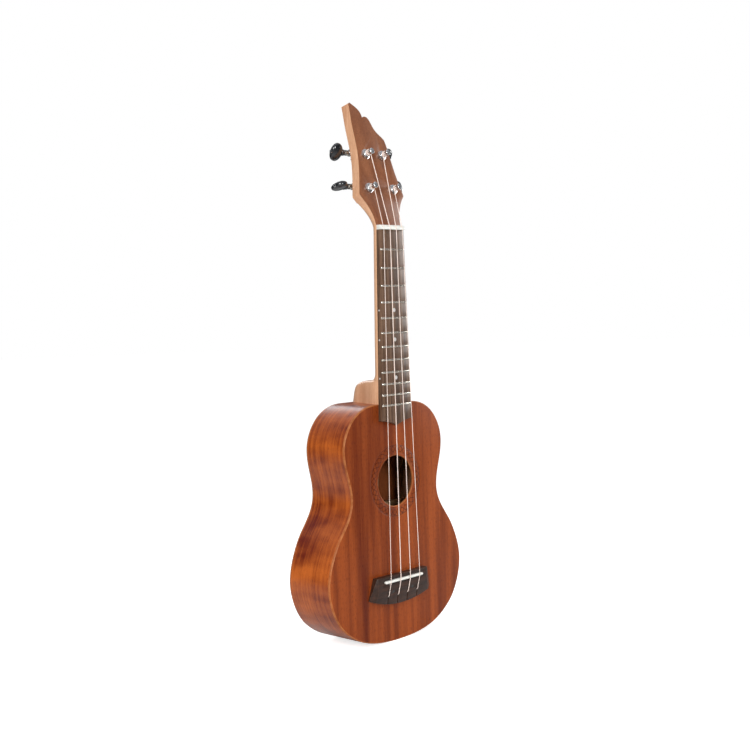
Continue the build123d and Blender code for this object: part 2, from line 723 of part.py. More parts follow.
for name, (u, v, side) in TUNERS.items():
    ear_end = EAR_V + EAR_WIDTH / 2 + 0.4
    with BuildPart() as frame:
        with BuildSketch(tuner_plane(name, -HEAD_CORE)):
            with Locations((0, (FRAME_LOW_V + FRAME_HIGH_V) / 2)):
                RectangleRounded(2 * FRAME_HALF, FRAME_HIGH_V - FRAME_LOW_V, 2.5)
            with Locations((0, (ear_end + FRAME_HIGH_V - 4) / 2)):
                SlotOverall(ear_end - FRAME_HIGH_V + 4, EAR_WIDTH, rotation=90)
        extrude(amount=-FRAME_THICKNESS)
        for along in (-LUG_OUTSIDE, LUG_INSIDE):
            reach = -HEAD_CORE - FRAME_THICKNESS - GEAR_W + 0.1
            with BuildSketch(shaft_plane(name, along)):
                Circle(LUG_RADIUS)
                with Locations((0, -side * reach / 2)):
                    Rectangle(2 * LUG_RADIUS, reach)
            extrude(amount=LUG_OUTSIDE - LUG_INSIDE)
        with BuildSketch(tuner_plane(name, -HEAD_CORE)):
            Circle(BARREL_RADIUS)
        extrude(amount=HEAD_CORE + VENEER + 1.6)
        with BuildSketch(tuner_plane(name, -HEAD_CORE - 3)):
            Circle(POST_RADIUS + RUNNING)
        extrude(amount=HEAD_CORE + 8, mode=Mode.SUBTRACT)
        with BuildSketch(shaft_plane(name, -LUG_OUTSIDE - 0.5)):
            Circle(WORM_ROOT_RADIUS + RUNNING)
        extrude(amount=2 * LUG_OUTSIDE + 1, mode=Mode.SUBTRACT)
        with BuildSketch(tuner_plane(name, -HEAD_CORE + 1)):
            with Locations((0, EAR_V)):
                Circle(SCREW_RADIUS)
        extrude(amount=-5, mode=Mode.SUBTRACT)
    keep(frame.part, f"tuner_frame_{name}")

    with BuildPart() as post:
        with BuildSketch(Plane(origin=tuner_plane(name).origin, x_dir=(1, 0, 0), z_dir=-HEAD.y_dir)):
            with BuildLine():
                Polyline(
                    (0, GEAR_W - 1.9),
                    (JOURNAL_RADIUS, GEAR_W - 1.9),
                    (JOURNAL_RADIUS, GEAR_W + GEAR_FACE / 2),
                    (POST_RADIUS, GEAR_W + GEAR_FACE / 2),
                    (POST_RADIUS, 4.0),
                    (WAIST_RADIUS, 4.6),
                    (WAIST_RADIUS, 8.4),
                    (POST_RADIUS, 9.2),
                    (POST_RADIUS, POST_TOP_W - 0.5),
                    (POST_RADIUS - 0.5, POST_TOP_W),
                    (0, POST_TOP_W),
                    close=True,
                )
            make_face()
        revolve(axis=Axis(tuner_plane(name).origin, HEAD.z_dir))
        with BuildSketch(Plane(origin=HEAD.from_local_coords((u - 5, v, 8.2)), z_dir=(1, 0, 0))):
            Circle(0.8)
        extrude(amount=10, mode=Mode.SUBTRACT)
    keep(post.part, f"string_post_{name}")

    # The gear's gaps lean by the worm's lead angle, and one gap faces the worm at rest.
    with BuildPart() as gear:
        with BuildSketch(tuner_plane(name, GEAR_W - GEAR_FACE / 2)):
            Circle(GEAR_TIP_RADIUS)
            Circle(JOURNAL_RADIUS, mode=Mode.SUBTRACT)
        extrude(amount=GEAR_FACE)
        for tooth in range(GEAR_TEETH):
            angle = pi / 2 + 2 * pi * tooth / GEAR_TEETH
            with BuildSketch(gap_plane(name, angle).offset(-GEAR_FACE)):
                with BuildLine():
                    Polyline(
                        (GEAR_ROOT_RADIUS, -GAP_HALF_AT_ROOT),
                        (GEAR_TIP_RADIUS + 0.4, -GAP_HALF_AT_TIP),
                        (GEAR_TIP_RADIUS + 0.4, GAP_HALF_AT_TIP),
                        (GEAR_ROOT_RADIUS, GAP_HALF_AT_ROOT),
                        close=True,
                    )
                make_face()
            extrude(amount=2 * GEAR_FACE, mode=Mode.SUBTRACT)
    keep(gear.part, f"tuner_gear_{name}")

    # The worm is one right-hand thread on a shaft whose stem carries the button.
    worm_plane = Plane(
        origin=HEAD.from_local_coords((u, v + WORM_OFFSET, GEAR_W)), x_dir=-HEAD.y_dir, z_dir=(1, 0, 0)
    )
    with BuildPart() as worm:
        with Locations(worm_plane):
            add(THREAD)
        with BuildSketch(shaft_plane(name, -LUG_OUTSIDE - 0.6)):
            Circle(WORM_ROOT_RADIUS)
        extrude(amount=LUG_OUTSIDE + COLLAR_START + 0.8)
        with BuildSketch(shaft_plane(name, COLLAR_START)):
            Circle(SHAFT_RADIUS)
        extrude(amount=COLLAR_END - COLLAR_START)
        with BuildSketch(shaft_plane(name, COLLAR_END - 0.5)):
            Circle(STEM_RADIUS)
        extrude(amount=STEM_END - COLLAR_END + 0.5)
        with BuildSketch(shaft_plane(name, STEM_END)):
            Circle(0.8)
        extrude(amount=-6, mode=Mode.SUBTRACT)
    keep(worm.part, f"tuner_worm_{name}")

    # The button is an oval paddle with a hub, held on the stem by a screw in its end.
    middle = shaft_plane(name, BUTTON_CENTRE, BUTTON_TURN[name])
    button_end = BUTTON_CENTRE + BUTTON_LENGTH / 2
    with BuildPart() as button:
        with BuildSketch(Plane(origin=middle.origin, x_dir=middle.z_dir, z_dir=middle.x_dir)):
            Ellipse(BUTTON_LENGTH / 2, BUTTON_WIDTH / 2)
        extrude(amount=BUTTON_THICKNESS / 2, both=True)
        fillet(button.edges().filter_by(GeomType.ELLIPSE), BUTTON_THICKNESS / 2 - 0.6)
        with BuildSketch(shaft_plane(name, HUB_START)):
            Circle(HUB_RADIUS)
        extrude(amount=BUTTON_CENTRE - HUB_START - 3)
        with BuildSketch(shaft_plane(name, HUB_START - 1)):
            Circle(STEM_RADIUS + 0.03)
        extrude(amount=STEM_END - HUB_START + 1.2, mode=Mode.SUBTRACT)
        with BuildSketch(shaft_plane(name, STEM_END)):
            Circle(0.82)
        extrude(amount=15, mode=Mode.SUBTRACT)
        with BuildSketch(shaft_plane(name, button_end - 0.9)):
            Circle(SCREW_HEAD_RADIUS + 0.1)
        extrude(amount=3, mode=Mode.SUBTRACT)
    keep(button.part, f"tuner_button_{name}")

    with BuildPart() as button_screw:
        with BuildSketch(shaft_plane(name, button_end - 0.9)):
            Circle(SCREW_HEAD_RADIUS)
        extrude(amount=1.2)
        with BuildSketch(shaft_plane(name, button_end - 0.9)):
            Circle(0.78)
        extrude(amount=STEM_END - 5 - button_end + 0.9)
        with BuildSketch(shaft_plane(name, button_end - 0.1)):
            Rectangle(2.6, 0.5)
            Rectangle(0.5, 2.6)
        extrude(amount=1, mode=Mode.SUBTRACT)
    keep(button_screw.part, f"button_screw_{name}")

    # The turns of string on the post, side by side.
    diameter = STRING_DIAMETERS[name]
    with BuildPart() as winding:
        with BuildSketch(Plane(origin=tuner_plane(name).origin, x_dir=(1, 0, 0), z_dir=-HEAD.y_dir)):
            for turn in (-1, 0, 1):
                with Locations((WAIST_RADIUS + 0.02 + diameter / 2, WOUND_W + 0.9 * turn * diameter)):
                    Circle(diameter / 2)
            with Locations((WAIST_RADIUS + 0.02 + diameter / 4, WOUND_W)):
                Rectangle(diameter / 2, 1.8 * diameter)
        revolve(axis=Axis(tuner_plane(name).origin, HEAD.z_dir))
    keep(winding.part, f"winding_{name}")

# Each bushing screws down over a barrel on the face of the headstock.
BUSHING_RADIUS = 5.0
BUSHING_TOP_W = 3.3
BARREL_END_W = VENEER + 1.6
with BuildPart() as bushings:
    for name in TUNERS:
        with BuildSketch(Plane(origin=tuner_plane(name).origin, x_dir=(1, 0, 0), z_dir=-HEAD.y_dir)):
            with BuildLine():
                Polyline(
                    (BARREL_RADIUS + 0.03, VENEER),
                    (BUSHING_RADIUS, VENEER),
                    (BUSHING_RADIUS, BUSHING_TOP_W - 0.9),
                    (BUSHING_RADIUS - 0.8, BUSHING_TOP_W),
                    (POST_RADIUS + RUNNING, BUSHING_TOP_W),
                    (POST_RADIUS + RUNNING, BARREL_END_W + 0.03),
                    (BARREL_RADIUS + 0.03, BARREL_END_W + 0.03),
                    close=True,
                )
            make_face()
        revolve(axis=Axis(tuner_plane(name).origin, HEAD.z_dir))
keep(bushings.part, "tuner_bushings")

# One screw through each frame's ear holds it to the back of the headstock.
with BuildPart() as tuner_screws:
    for u, v, _ in TUNERS.values():
        with BuildSketch(on_head(u, v + EAR_V, -HEAD_CORE - FRAME_THICKNESS)):
            Circle(2.0)
        extrude(amount=-1.1, taper=25)
        with BuildSketch(on_head(u, v + EAR_V, -HEAD_CORE - FRAME_THICKNESS)):
            Circle(SCREW_RADIUS - 0.03)
        extrude(amount=SCREW_REACH + 1)
keep(tuner_screws.part, "tuner_screws")
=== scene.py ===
import math

import bmesh
import bpy
from mathutils import Matrix, Vector
from mathutils.geometry import interpolate_bezier


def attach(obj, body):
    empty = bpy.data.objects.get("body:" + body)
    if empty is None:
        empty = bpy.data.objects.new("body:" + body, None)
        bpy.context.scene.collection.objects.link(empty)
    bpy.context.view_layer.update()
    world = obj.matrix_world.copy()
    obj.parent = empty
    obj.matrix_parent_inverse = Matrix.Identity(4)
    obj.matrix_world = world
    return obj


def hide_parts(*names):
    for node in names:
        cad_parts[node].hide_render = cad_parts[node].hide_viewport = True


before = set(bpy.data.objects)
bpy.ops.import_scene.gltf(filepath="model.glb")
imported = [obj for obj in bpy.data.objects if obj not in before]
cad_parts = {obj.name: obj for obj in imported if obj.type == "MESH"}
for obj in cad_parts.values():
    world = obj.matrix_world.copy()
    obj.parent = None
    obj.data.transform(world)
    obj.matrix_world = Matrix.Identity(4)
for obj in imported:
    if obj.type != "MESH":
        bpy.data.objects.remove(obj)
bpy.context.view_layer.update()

# ================= soundboard =================
# The top is a 2 mm mahogany plate with straight ribbon grain under a thin satin finish. Its rim is
# rounded over the sides, and a ring of two fine lines, crossing waves and dots is burnt in round
# the sound hole.
MM = 0.001
TOP_Y = -23.83
BODY_LENGTH = 239.0
DEPTH_AT_TAIL = 58.0
DEPTH_AT_NECK = 52.0
BACK_SWELL = 2.8
SWELL_Z = 130.0
SWELL_REACH = 40.0
PLATE = 2.0
PLATE_ROUNDING = 1.1
BROKEN_EDGE = 0.2
HOLE_Z = 161.0
HOLE_RADIUS = 25.4
HOLE_EASING = 0.6
RING_LINES = (28.0, 35.6)
GROOVE_HALF_WIDTH = 0.18
GROOVE_DEPTH = 0.07
WAVES = 18.0
WAVE_HEIGHT = 2.7

# x and z of a point, the outline's direction there, and how strongly the curve keeps to it
OUTLINE_SPACING = 2.2
NECK_FLAT = 12.0
FLANK = (
    ((24.0, 239.0), (1.0, 0.0), 1.181),
    ((52.5, 231.0), (0.82, -0.57), 0.923),
    ((71.4, 196.0), (0.0, -1.0), 1.103),
    ((62.4, 148.5), (0.0, -1.0), 1.077),
    ((84.0, 107.0), (0.5, -0.87), 0.953),
    ((96.7, 67.5), (0.0, -1.0), 0.954),
    ((77.5, 23.0), (-0.74, -0.67), 0.912),
    ((0.0, 0.0), (-1.0, 0.0), 1.422),
)


def trace(stations, spacing):
    """Points along a smooth curve through stations, each a point, a direction and a pull."""
    points = []
    for (near, near_way, near_pull), (far, far_way, far_pull) in zip(stations, stations[1:]):
        near, far = Vector(near), Vector(far)
        reach = (far - near).length / 3
        count = max(3, round(3 * reach / spacing))
        near_hand = near + Vector(near_way).normalized() * reach * near_pull
        far_hand = far - Vector(far_way).normalized() * reach * far_pull
        points += interpolate_bezier(near, near_hand, far_hand, far, count + 1)[:-1]
    return points + [Vector(stations[-1][0])]


def body_outline(inset):
    """The body's outline as points (x, z), clockwise from the middle of its top edge."""
    half = [Vector((x, BODY_LENGTH)) for x in (0.0, NECK_FLAT)] + trace(FLANK, OUTLINE_SPACING)
    ring = half + [Vector((-p.x, p.y)) for p in reversed(half[1:-1])]
    moved = []
    for before, point, after in zip(ring[-1:] + ring[:-1], ring, ring[1:] + ring[:1]):
        along = (after - before).normalized()
        moved.append(point + inset * Vector((along.y, -along.x)))
    return moved


def back_y(z):
    """Depth of the back's outer face, which leans in towards the neck and swells at the waist."""
    lean = (DEPTH_AT_TAIL - DEPTH_AT_NECK) * z / BODY_LENGTH
    swell = BACK_SWELL * math.exp(-(((z - SWELL_Z) / SWELL_REACH) ** 2))
    return TOP_Y + DEPTH_AT_TAIL - lean + swell


def lay_ring(bm, corners):
    """Joins points into a closed ring of edges."""
    ring = [bm.verts.new(corner) for corner in corners]
    return [bm.edges.new(pair) for pair in zip(ring, ring[1:] + ring[:1])]


def mark_edge(bm, faces, mark=1.0):
    """Marks faces as a rounded edge, for the materials to read; they paint it paler, as rubbed finish and,
    on the woods, as a painted highlight.
    """
    layer = bm.loops.layers.float.get("edge") or bm.loops.layers.float.new("edge")
    for face in faces:
        for loop in face.loops:
            loop[layer] = mark


def lay_rim(bm, inset_steps, depth_of):
    """Bridges a plate's rounded rim through (inset, depth) steps; gives its end rings and faces."""
    rings = [
        lay_ring(bm, [(x, depth_of(z, depth), z) for x, z in body_outline(inset)])
        for inset, depth in inset_steps
    ]
    faces = []
    for near, far in zip(rings, rings[1:]):
        faces += bmesh.ops.bridge_loops(bm, edges=near + far)["faces"]
    return rings[0], rings[-1], faces


def round_over(radius, thickness):
    """The (inset, depth) steps of an edge rounded on one side and barely broken on the other."""
    steps = [
        (radius * (1 - math.sin(turn)), radius * (1 - math.cos(turn)))
        for turn in (math.radians(18 * step) for step in range(6))
    ]
    return steps + [(0.0, thickness - BROKEN_EDGE), (BROKEN_EDGE, thickness)]


def settle(name, bm, material, body="instrument", nodes=(), crease=32, inner=None):
    """Makes a model in millimetres a finished piece in metres that rides on a body."""
    bmesh.ops.scale(bm, vec=(MM, MM, MM), verts=bm.verts)
    for face in bm.faces:
        face.smooth = True
    for edge in bm.edges:
        edge.smooth = edge.calc_face_angle(0) < math.radians(crease)
    mesh = bpy.data.meshes.new(name)
    bm.to_mesh(mesh)
    bm.free()
    mesh.materials.append(material)
    if inner:
        mesh.materials.append(inner)
    piece = bpy.data.objects.new(name, mesh)
    bpy.context.scene.collection.objects.link(piece)
    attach(piece, body)
    if nodes:
        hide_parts(*nodes)
    return piece


def place(tree, kind, feeds=None, **settings):
    """Adds a shader node. A feed that is a socket is linked, and any other is set."""
    made = tree.nodes.new("ShaderNode" + kind)
    for key, value in settings.items():
        setattr(made, key, value)
    for key, value in (feeds or {}).items():
        if isinstance(value, bpy.types.NodeSocket):
            tree.links.new(value, made.inputs[key])
        else:
            made.inputs[key].default_value = value
    return made


def reckon(tree, operation, *terms, clamp=False):
    """The result of one Math node."""
    return place(tree, "Math", dict(enumerate(terms)), operation=operation, use_clamp=clamp).outputs[0]


def blend_colours(tree, share, low, high, blend_type="MIX"):
    """The result of one colour Mix node."""
    feeds = {0: share, 6: low, 7: high}
    return place(tree, "Mix", feeds, data_type="RGBA", blend_type=blend_type).outputs[2]


def step_up(tree, value, low, high):
    """0 below one value of the input, 1 above another, and even between them."""
    feeds = {"Value": value, "From Min": low, "From Max": high}
    return place(tree, "MapRange", feeds, clamp=True).outputs[0]


def noise(tree, vector, width, length, **feeds):
    """Noise with spots of a width, and a length along the vector's Z."""
    sizes = place(tree, "CombineXYZ", {"X": width, "Y": width, "Z": length}).outputs[0]
    vector = place(tree, "VectorMath", {0: vector, 1: sizes}, operation="DIVIDE").outputs[0]
    return place(tree, "TexNoise", {"Vector": vector, "Scale": 1.0, **feeds}).outputs[0]


def open_group(name, inputs, outputs):
    """A shader node group with named sockets, and its input and output nodes."""
    tree = bpy.data.node_groups.new(name, "ShaderNodeTree")
    for label, kind, value in inputs:
        socket = tree.interface.new_socket(label, in_out="INPUT", socket_type="NodeSocket" + kind)
        socket.default_value = value
    for label, kind in outputs:
        tree.interface.new_socket(label, in_out="OUTPUT", socket_type="NodeSocket" + kind)
    return tree, tree.nodes.new("NodeGroupInput").outputs, tree.nodes.new("NodeGroupOutput").inputs


def new_material(name, **uniform):
    """A material whose Principled shader has some values the same all over."""
    material = bpy.data.materials.new(name)
    material.use_nodes = True
    tree = material.node_tree
    shader = tree.nodes["Principled BSDF"]
    for key, value in uniform.items():
        shader.inputs[key.replace("_", " ")].default_value = value
    return material, tree, shader


def emboss(tree, shader, height, strength, distance=0.0001):
    """Raises a material's surface by a height."""
    relief = place(tree, "Bump", {"Height": height, "Strength": strength, "Distance": distance})
    tree.links.new(relief.outputs[0], shader.inputs["Normal"])


RIBBON_STRETCH = 26.0
FIBRE_STRETCH = 55.0
PORE_SIZE = (0.28, 4.5)


def make_grain():
    """Wood grain along the Z of the vector it is given, in millimetres."""
    tree, given, result = open_group(
        "wood grain",
        (
            ("Vector", "Vector", (0, 0, 0)),
            ("Dark", "Color", (0.1, 0.03, 0.01, 1)),
            ("Light", "Color", (0.4, 0.15, 0.05, 1)),
            ("Ribbon Width", "Float", 18.0),
            ("Fibre Width", "Float", 0.9),
            ("Ribbon Share", "Float", 0.6),
            ("Pore Share", "Float", 0.5),
            ("Cloud Width", "Float", 34.0),
            ("Cloud Length", "Float", 60.0),
            ("Cloud Share", "Float", 0.5),
        ),
        (("Color", "Color"), ("Height", "Float"), ("Gloss", "Float")),
    )

    where, wide, fine = given["Vector"], given["Ribbon Width"], given["Fibre Width"]
    ribbon_length = reckon(tree, "MULTIPLY", wide, RIBBON_STRETCH)
    fibre_length = reckon(tree, "MULTIPLY", fine, FIBRE_STRETCH)
    ribbon = noise(tree, where, wide, ribbon_length, Detail=2.0, Roughness=0.45, Distortion=0.4)
    fibre = noise(tree, where, fine, fibre_length, Detail=4.0, Roughness=0.65)
    cloud = noise(tree, where, given["Cloud Width"], given["Cloud Length"], Detail=2.0, Roughness=0.5)
    pores = noise(tree, where, *PORE_SIZE, Detail=1.0, Roughness=0.5)
    dashes = reckon(tree, "MULTIPLY", step_up(tree, pores, 0.60, 0.68), given["Pore Share"])
    ribbon_mask = step_up(tree, ribbon, 0.34, 0.66)
    fibre_mask = step_up(tree, fibre, 0.25, 0.75)
    fibre_part = reckon(tree, "SUBTRACT", 1.0, given["Ribbon Share"])
    ribbons = reckon(tree, "MULTIPLY", ribbon_mask, given["Ribbon Share"])
    fibres = reckon(tree, "MULTIPLY", fibre_mask, fibre_part)
    uneven = reckon(tree, "MULTIPLY", reckon(tree, "SUBTRACT", cloud, 0.5), given["Cloud Share"])
    share = reckon(tree, "ADD", reckon(tree, "ADD", ribbons, fibres), uneven, clamp=True)
    wood = blend_colours(tree, share, given["Dark"], given["Light"])
    ridges = reckon(tree, "MULTIPLY", fibre_mask, 0.35)
    shine, dull = reckon(tree, "MULTIPLY", share, 0.5), reckon(tree, "MULTIPLY", dashes, 0.5)
    tree.links.new(blend_colours(tree, dashes, wood, given["Dark"], "MULTIPLY"), result["Color"])
    tree.links.new(reckon(tree, "SUBTRACT", ridges, dashes), result["Height"])
    tree.links.new(reckon(tree, "ADD", shine, dull), result["Gloss"])
    return tree


def make_edge_wear_and_highlight():
    """A mask for rounded edges, broken up a little: rubbed finish, and on the woods also a painted
    highlight.
    """
    tree, given, result = open_group(
        "edge wear",
        (("Vector", "Vector", (0, 0, 0)), ("Amount", "Float", 0.6), ("Patch Size", "Float", 6.0)),
        (("Mask", "Float"),),
    )
    edge = place(tree, "Attribute", attribute_name="edge").outputs["Fac"]
    patches = noise(tree, given["Vector"], given["Patch Size"], given["Patch Size"], Detail=3.0)
    broken = step_up(tree, patches, 0.2, 0.6)
    mask = reckon(tree, "MULTIPLY", reckon(tree, "MULTIPLY", edge, broken), given["Amount"], clamp=True)
    tree.links.new(mask, result["Mask"])
    return tree


GRAIN = make_grain()
EDGE_WEAR_AND_HIGHLIGHT = make_edge_wear_and_highlight()


def millimetres(tree, turn=(0, 0, 0), shift=(0, 0, 0)):
    """Object coordinates in millimetres, turned so that the grain is along Z."""
    where = place(tree, "TexCoord").outputs["Object"]
    feeds = {"Vector": where, "Scale": (1000, 1000, 1000), "Rotation": turn, "Location": shift}
    return place(tree, "Mapping", feeds).outputs[0]


def make_wood(
    name, dark, light, vector=None, turn=(0, 0, 0), shift=(0, 0, 0), edge_colour=None, wear_and_highlight=0.6,
    burn=None, rough=(0.34, 0.5), bump=0.12, coat=0.12, glare=0.25, **grain,
):
    """A finished wood: grain, pores, paler edges and a satin coat. The paler edges are partly rubbed finish
    and partly a painted highlight, where the rounded edges catch the light.
    """
    material, tree, shader = new_material(
        name, Coat_Roughness=0.2, Coat_Weight=coat, Specular_IOR_Level=glare
    )
    vector = vector(tree) if vector else millimetres(tree, turn, shift)
    feeds = {"Vector": vector, "Dark": (*dark, 1), "Light": (*light, 1)}
    feeds.update({key.replace("_", " "): value for key, value in grain.items()})
    wood = place(tree, "Group", feeds, node_tree=GRAIN)
    colour, height = wood.outputs["Color"], wood.outputs["Height"]
    if burn:
        mask = burn(tree, vector)
        colour = blend_colours(tree, mask, colour, (*[0.3 * part for part in dark], 1))
        height = reckon(tree, "SUBTRACT", height, mask)
    # painted highlight: rounded edges get a paler colour, partly for rubbed finish and partly for the light
    # they catch
    if edge_colour:
        worn_and_highlit = place(tree, "Group", {"Vector": vector, "Amount": wear_and_highlight}, node_tree=EDGE_WEAR_AND_HIGHLIGHT)
        colour = blend_colours(tree, worn_and_highlit.outputs["Mask"], colour, (*edge_colour, 1))
    tree.links.new(colour, shader.inputs["Base Color"])
    feeds = {"Value": wood.outputs["Gloss"], "To Min": rough[0], "To Max": rough[1]}
    tree.links.new(place(tree, "MapRange", feeds).outputs[0], shader.inputs["Roughness"])
    emboss(tree, shader, height, bump, 0.0002)
    return material


def rosette_burn(tree, vector):
    """A mask of the burnt ring: a faint and a full line, crossing waves between them, and dots."""
    parts = place(tree, "SeparateXYZ", {0: vector}).outputs
    upward = reckon(tree, "SUBTRACT", parts["Z"], HOLE_Z)
    squares = [reckon(tree, "POWER", part, 2.0) for part in (parts["X"], upward)]
    radius = reckon(tree, "SQRT", reckon(tree, "ADD", *squares))
    turn = reckon(tree, "ARCTAN2", upward, parts["X"])
    inner = reckon(tree, "MULTIPLY", reckon(tree, "COMPARE", radius, RING_LINES[0], 0.22), 0.4)
    mask = reckon(tree, "MAXIMUM", inner, reckon(tree, "COMPARE", radius, RING_LINES[1], 0.28))
    across = reckon(tree, "SUBTRACT", radius, sum(RING_LINES) / 2)
    for count in (WAVES, -WAVES):
        swing = reckon(tree, "SINE", reckon(tree, "MULTIPLY", turn, count))
        wave = reckon(tree, "MULTIPLY", swing, WAVE_HEIGHT)
        mask = reckon(tree, "MAXIMUM", mask, reckon(tree, "COMPARE", across, wave, 0.5))
    beat = reckon(tree, "COSINE", reckon(tree, "MULTIPLY", turn, 2 * WAVES))
    dots = step_up(tree, beat, 0.72, 0.8)
    near_middle = reckon(tree, "COMPARE", across, 0.0, 0.55)
    mask = reckon(tree, "MAXIMUM", mask, reckon(tree, "MULTIPLY", dots, near_middle))
    return reckon(tree, "MULTIPLY", mask, 0.8, clamp=True)


TOP_DARK = (0.108, 0.015, 0.003)
TOP_LIGHT = (0.315, 0.066, 0.012)
# the pale orange given to the rounded rims of top, sides and back: partly lighter wood under a rubbed
# finish, partly a painted highlight where the rims catch the light
RIM_WEAR_AND_HIGHLIGHT = (0.50, 0.19, 0.065)

top_wood = make_wood(
    "soundboard mahogany", TOP_DARK, TOP_LIGHT, edge_colour=RIM_WEAR_AND_HIGHLIGHT, burn=rosette_burn, glare=0.12,
    coat=0.06, Ribbon_Width=10.0, Ribbon_Share=0.55, Pore_Share=0.6, Cloud_Width=38.0,
    Cloud_Length=420.0, Cloud_Share=1.2,
)

bm = bmesh.new()
rim_steps = round_over(PLATE_ROUNDING, PLATE)
top_ring, under_ring, worn_and_highlit = lay_rim(bm, rim_steps, lambda z, depth: TOP_Y + depth)
rim_faces = set(bm.faces)
# the hole and its ring are one profile of (radius, depth), turned about the hole's axis
profile = [(38.5, 0.0)]
for line in reversed(RING_LINES):
    profile += [(line + GROOVE_HALF_WIDTH, 0.0), (line, GROOVE_DEPTH), (line - GROOVE_HALF_WIDTH, 0.0)]
profile += [
    (HOLE_RADIUS + HOLE_EASING, 0.0), (25.65, 0.12), (HOLE_RADIUS, 0.4), (HOLE_RADIUS, 1.7),
    (25.7, PLATE), (31.0, PLATE),
]
line = [bm.verts.new((radius, TOP_Y + depth, HOLE_Z)) for radius, depth in profile]
edges = [bm.edges.new(pair) for pair in zip(line, line[1:])]
bmesh.ops.spin(
    bm, geom=line + edges, cent=(0, 0, HOLE_Z), axis=(0, 1, 0), angle=math.tau, steps=120, use_merge=True
)
ring_faces = set(bm.faces) - rim_faces
# the rim and the hole's eased edge are painted paler: rubbed finish and a painted highlight
for face in ring_faces:
    middle = face.calc_center_median()
    if math.hypot(middle.x, middle.z - HOLE_Z) < HOLE_RADIUS + HOLE_EASING:
        worn_and_highlit.append(face)
hole_rims = [edge for edge in bm.edges if edge.is_boundary and edge.link_faces[0] in ring_faces]
for depth, rim in ((0.0, top_ring), (PLATE, under_ring)):
    edges = rim + [edge for edge in hole_rims if abs(edge.verts[0].co.y - TOP_Y - depth) < 0.01]
    bmesh.ops.triangle_fill(bm, edges=edges, use_beauty=True)
bmesh.ops.remove_doubles(bm, verts=bm.verts, dist=0.001)
bmesh.ops.recalc_face_normals(bm, faces=bm.faces)
mark_edge(bm, [face for face in worn_and_highlit if face.is_valid])
settle("soundboard_plate", bm, top_wood, nodes=["soundboard"])

# ================= sides =================
# Each side is one 2 mm strip of mahogany, bent to the outline, and the two meet at the tail and
# under the neck. The grain runs along the strip, so the pattern follows the bend.
STRIP_EASING = 0.15


def along_strip(tree):
    """The strip's own coordinates in millimetres: depth across the grain, length along it."""
    where = place(tree, "SeparateXYZ", {0: place(tree, "UVMap", uv_map="strip").outputs[0]}).outputs
    return place(tree, "CombineXYZ", {"X": where["X"], "Y": 0.0, "Z": where["Y"]}).outputs[0]


def cut_away(bm, spot, way, **side):
    """Cuts a model with a plane and drops what lies on its outer or its inner side."""
    geometry = [*bm.verts, *bm.edges, *bm.faces]
    bmesh.ops.bisect_plane(bm, geom=geometry, plane_co=spot, plane_no=way, **side)


side_wood = make_wood(
    "side mahogany", (0.115, 0.008, 0.001), (0.48, 0.110, 0.017), vector=along_strip,
    edge_colour=RIM_WEAR_AND_HIGHLIGHT, rough=(0.3, 0.42), wear_and_highlight=0.5, coat=0.3, glare=0.2, Ribbon_Width=3.2,
    Ribbon_Share=0.4, Fibre_Width=0.6, Cloud_Width=70.0, Cloud_Length=26.0, Cloud_Share=2.2,
)
raw_wood = make_wood(
    "raw mahogany inside", (0.30, 0.13, 0.06), (0.62, 0.34, 0.19), vector=along_strip,
    rough=(0.6, 0.8), coat=0.0, bump=0.3, Ribbon_Width=6.0, Ribbon_Share=0.4,
)

for side, way in (("left", 1), ("right", -1)):
    bm = bmesh.new()
    strip_uv = bm.loops.layers.uv.new("strip")
    front_y = TOP_Y + PLATE
    steps = ((PLATE, 0.0), (STRIP_EASING, 0.0), (0.0, STRIP_EASING))
    rings = []
    for inset, step in steps:
        rings.append(lay_ring(bm, [(x, front_y + step, z) for x, z in body_outline(inset)]))
    for inset, step in reversed(steps):
        rings.append(lay_ring(bm, [(x, back_y(z) - PLATE - step, z) for x, z in body_outline(inset)]))
    _, front_edge, _, back_edge, _, inside = [
        bmesh.ops.bridge_loops(bm, edges=near + far)["faces"]
        for near, far in zip(rings, rings[1:] + rings[:1])
    ]
    # the strip's eased front and back edges take the pale rim colour: rubbed finish and a painted highlight
    mark_edge(bm, front_edge + back_edge)
    for face in inside:
        face.material_index = 1
    # the length along the strip, measured from the middle of the top edge
    lengths, outline = [0.0], body_outline(0.0)
    for here, there in zip(outline, outline[1:] + outline[:1]):
        lengths.append(lengths[-1] + (there - here).length)
    bm.verts.index_update()
    for face in bm.faces:
        for loop in face.loops:
            along = lengths[loop.vert.index % len(outline)]
            loop[strip_uv].uv = (loop.vert.co.y, min(along, lengths[-1] - along) * way)
    bmesh.ops.recalc_face_normals(bm, faces=bm.faces)
    cut_away(bm, (0, 0, 0), (way, 0, 0), clear_outer=True)
    bmesh.ops.holes_fill(bm, edges=[edge for edge in bm.edges if edge.is_boundary], sides=0)
    settle(f"side_{side}_strip", bm, side_wood, nodes=[f"side_{side}"], inner=raw_wood)

# ================= back =================
# The back is one mahogany plate, glued on the sides. It leans 1.4 degrees in towards the neck and
# swells a little at the waist, and its rim is rounded over.
back_wood = make_wood(
    "back mahogany", (0.13, 0.028, 0.009), (0.34, 0.10, 0.03), shift=(40, 90, 0), edge_colour=RIM_WEAR_AND_HIGHLIGHT,
    coat=0.2, Ribbon_Width=13.0, Ribbon_Share=0.5, Cloud_Width=50.0, Cloud_Length=400.0, Cloud_Share=0.9,
)
bm = bmesh.new()
outer_ring, inner_ring, worn_and_highlit = lay_rim(bm, rim_steps, lambda z, depth: back_y(z) - depth)
for ring in (outer_ring, inner_ring):
    bmesh.ops.triangle_fill(bm, edges=ring, use_beauty=True)
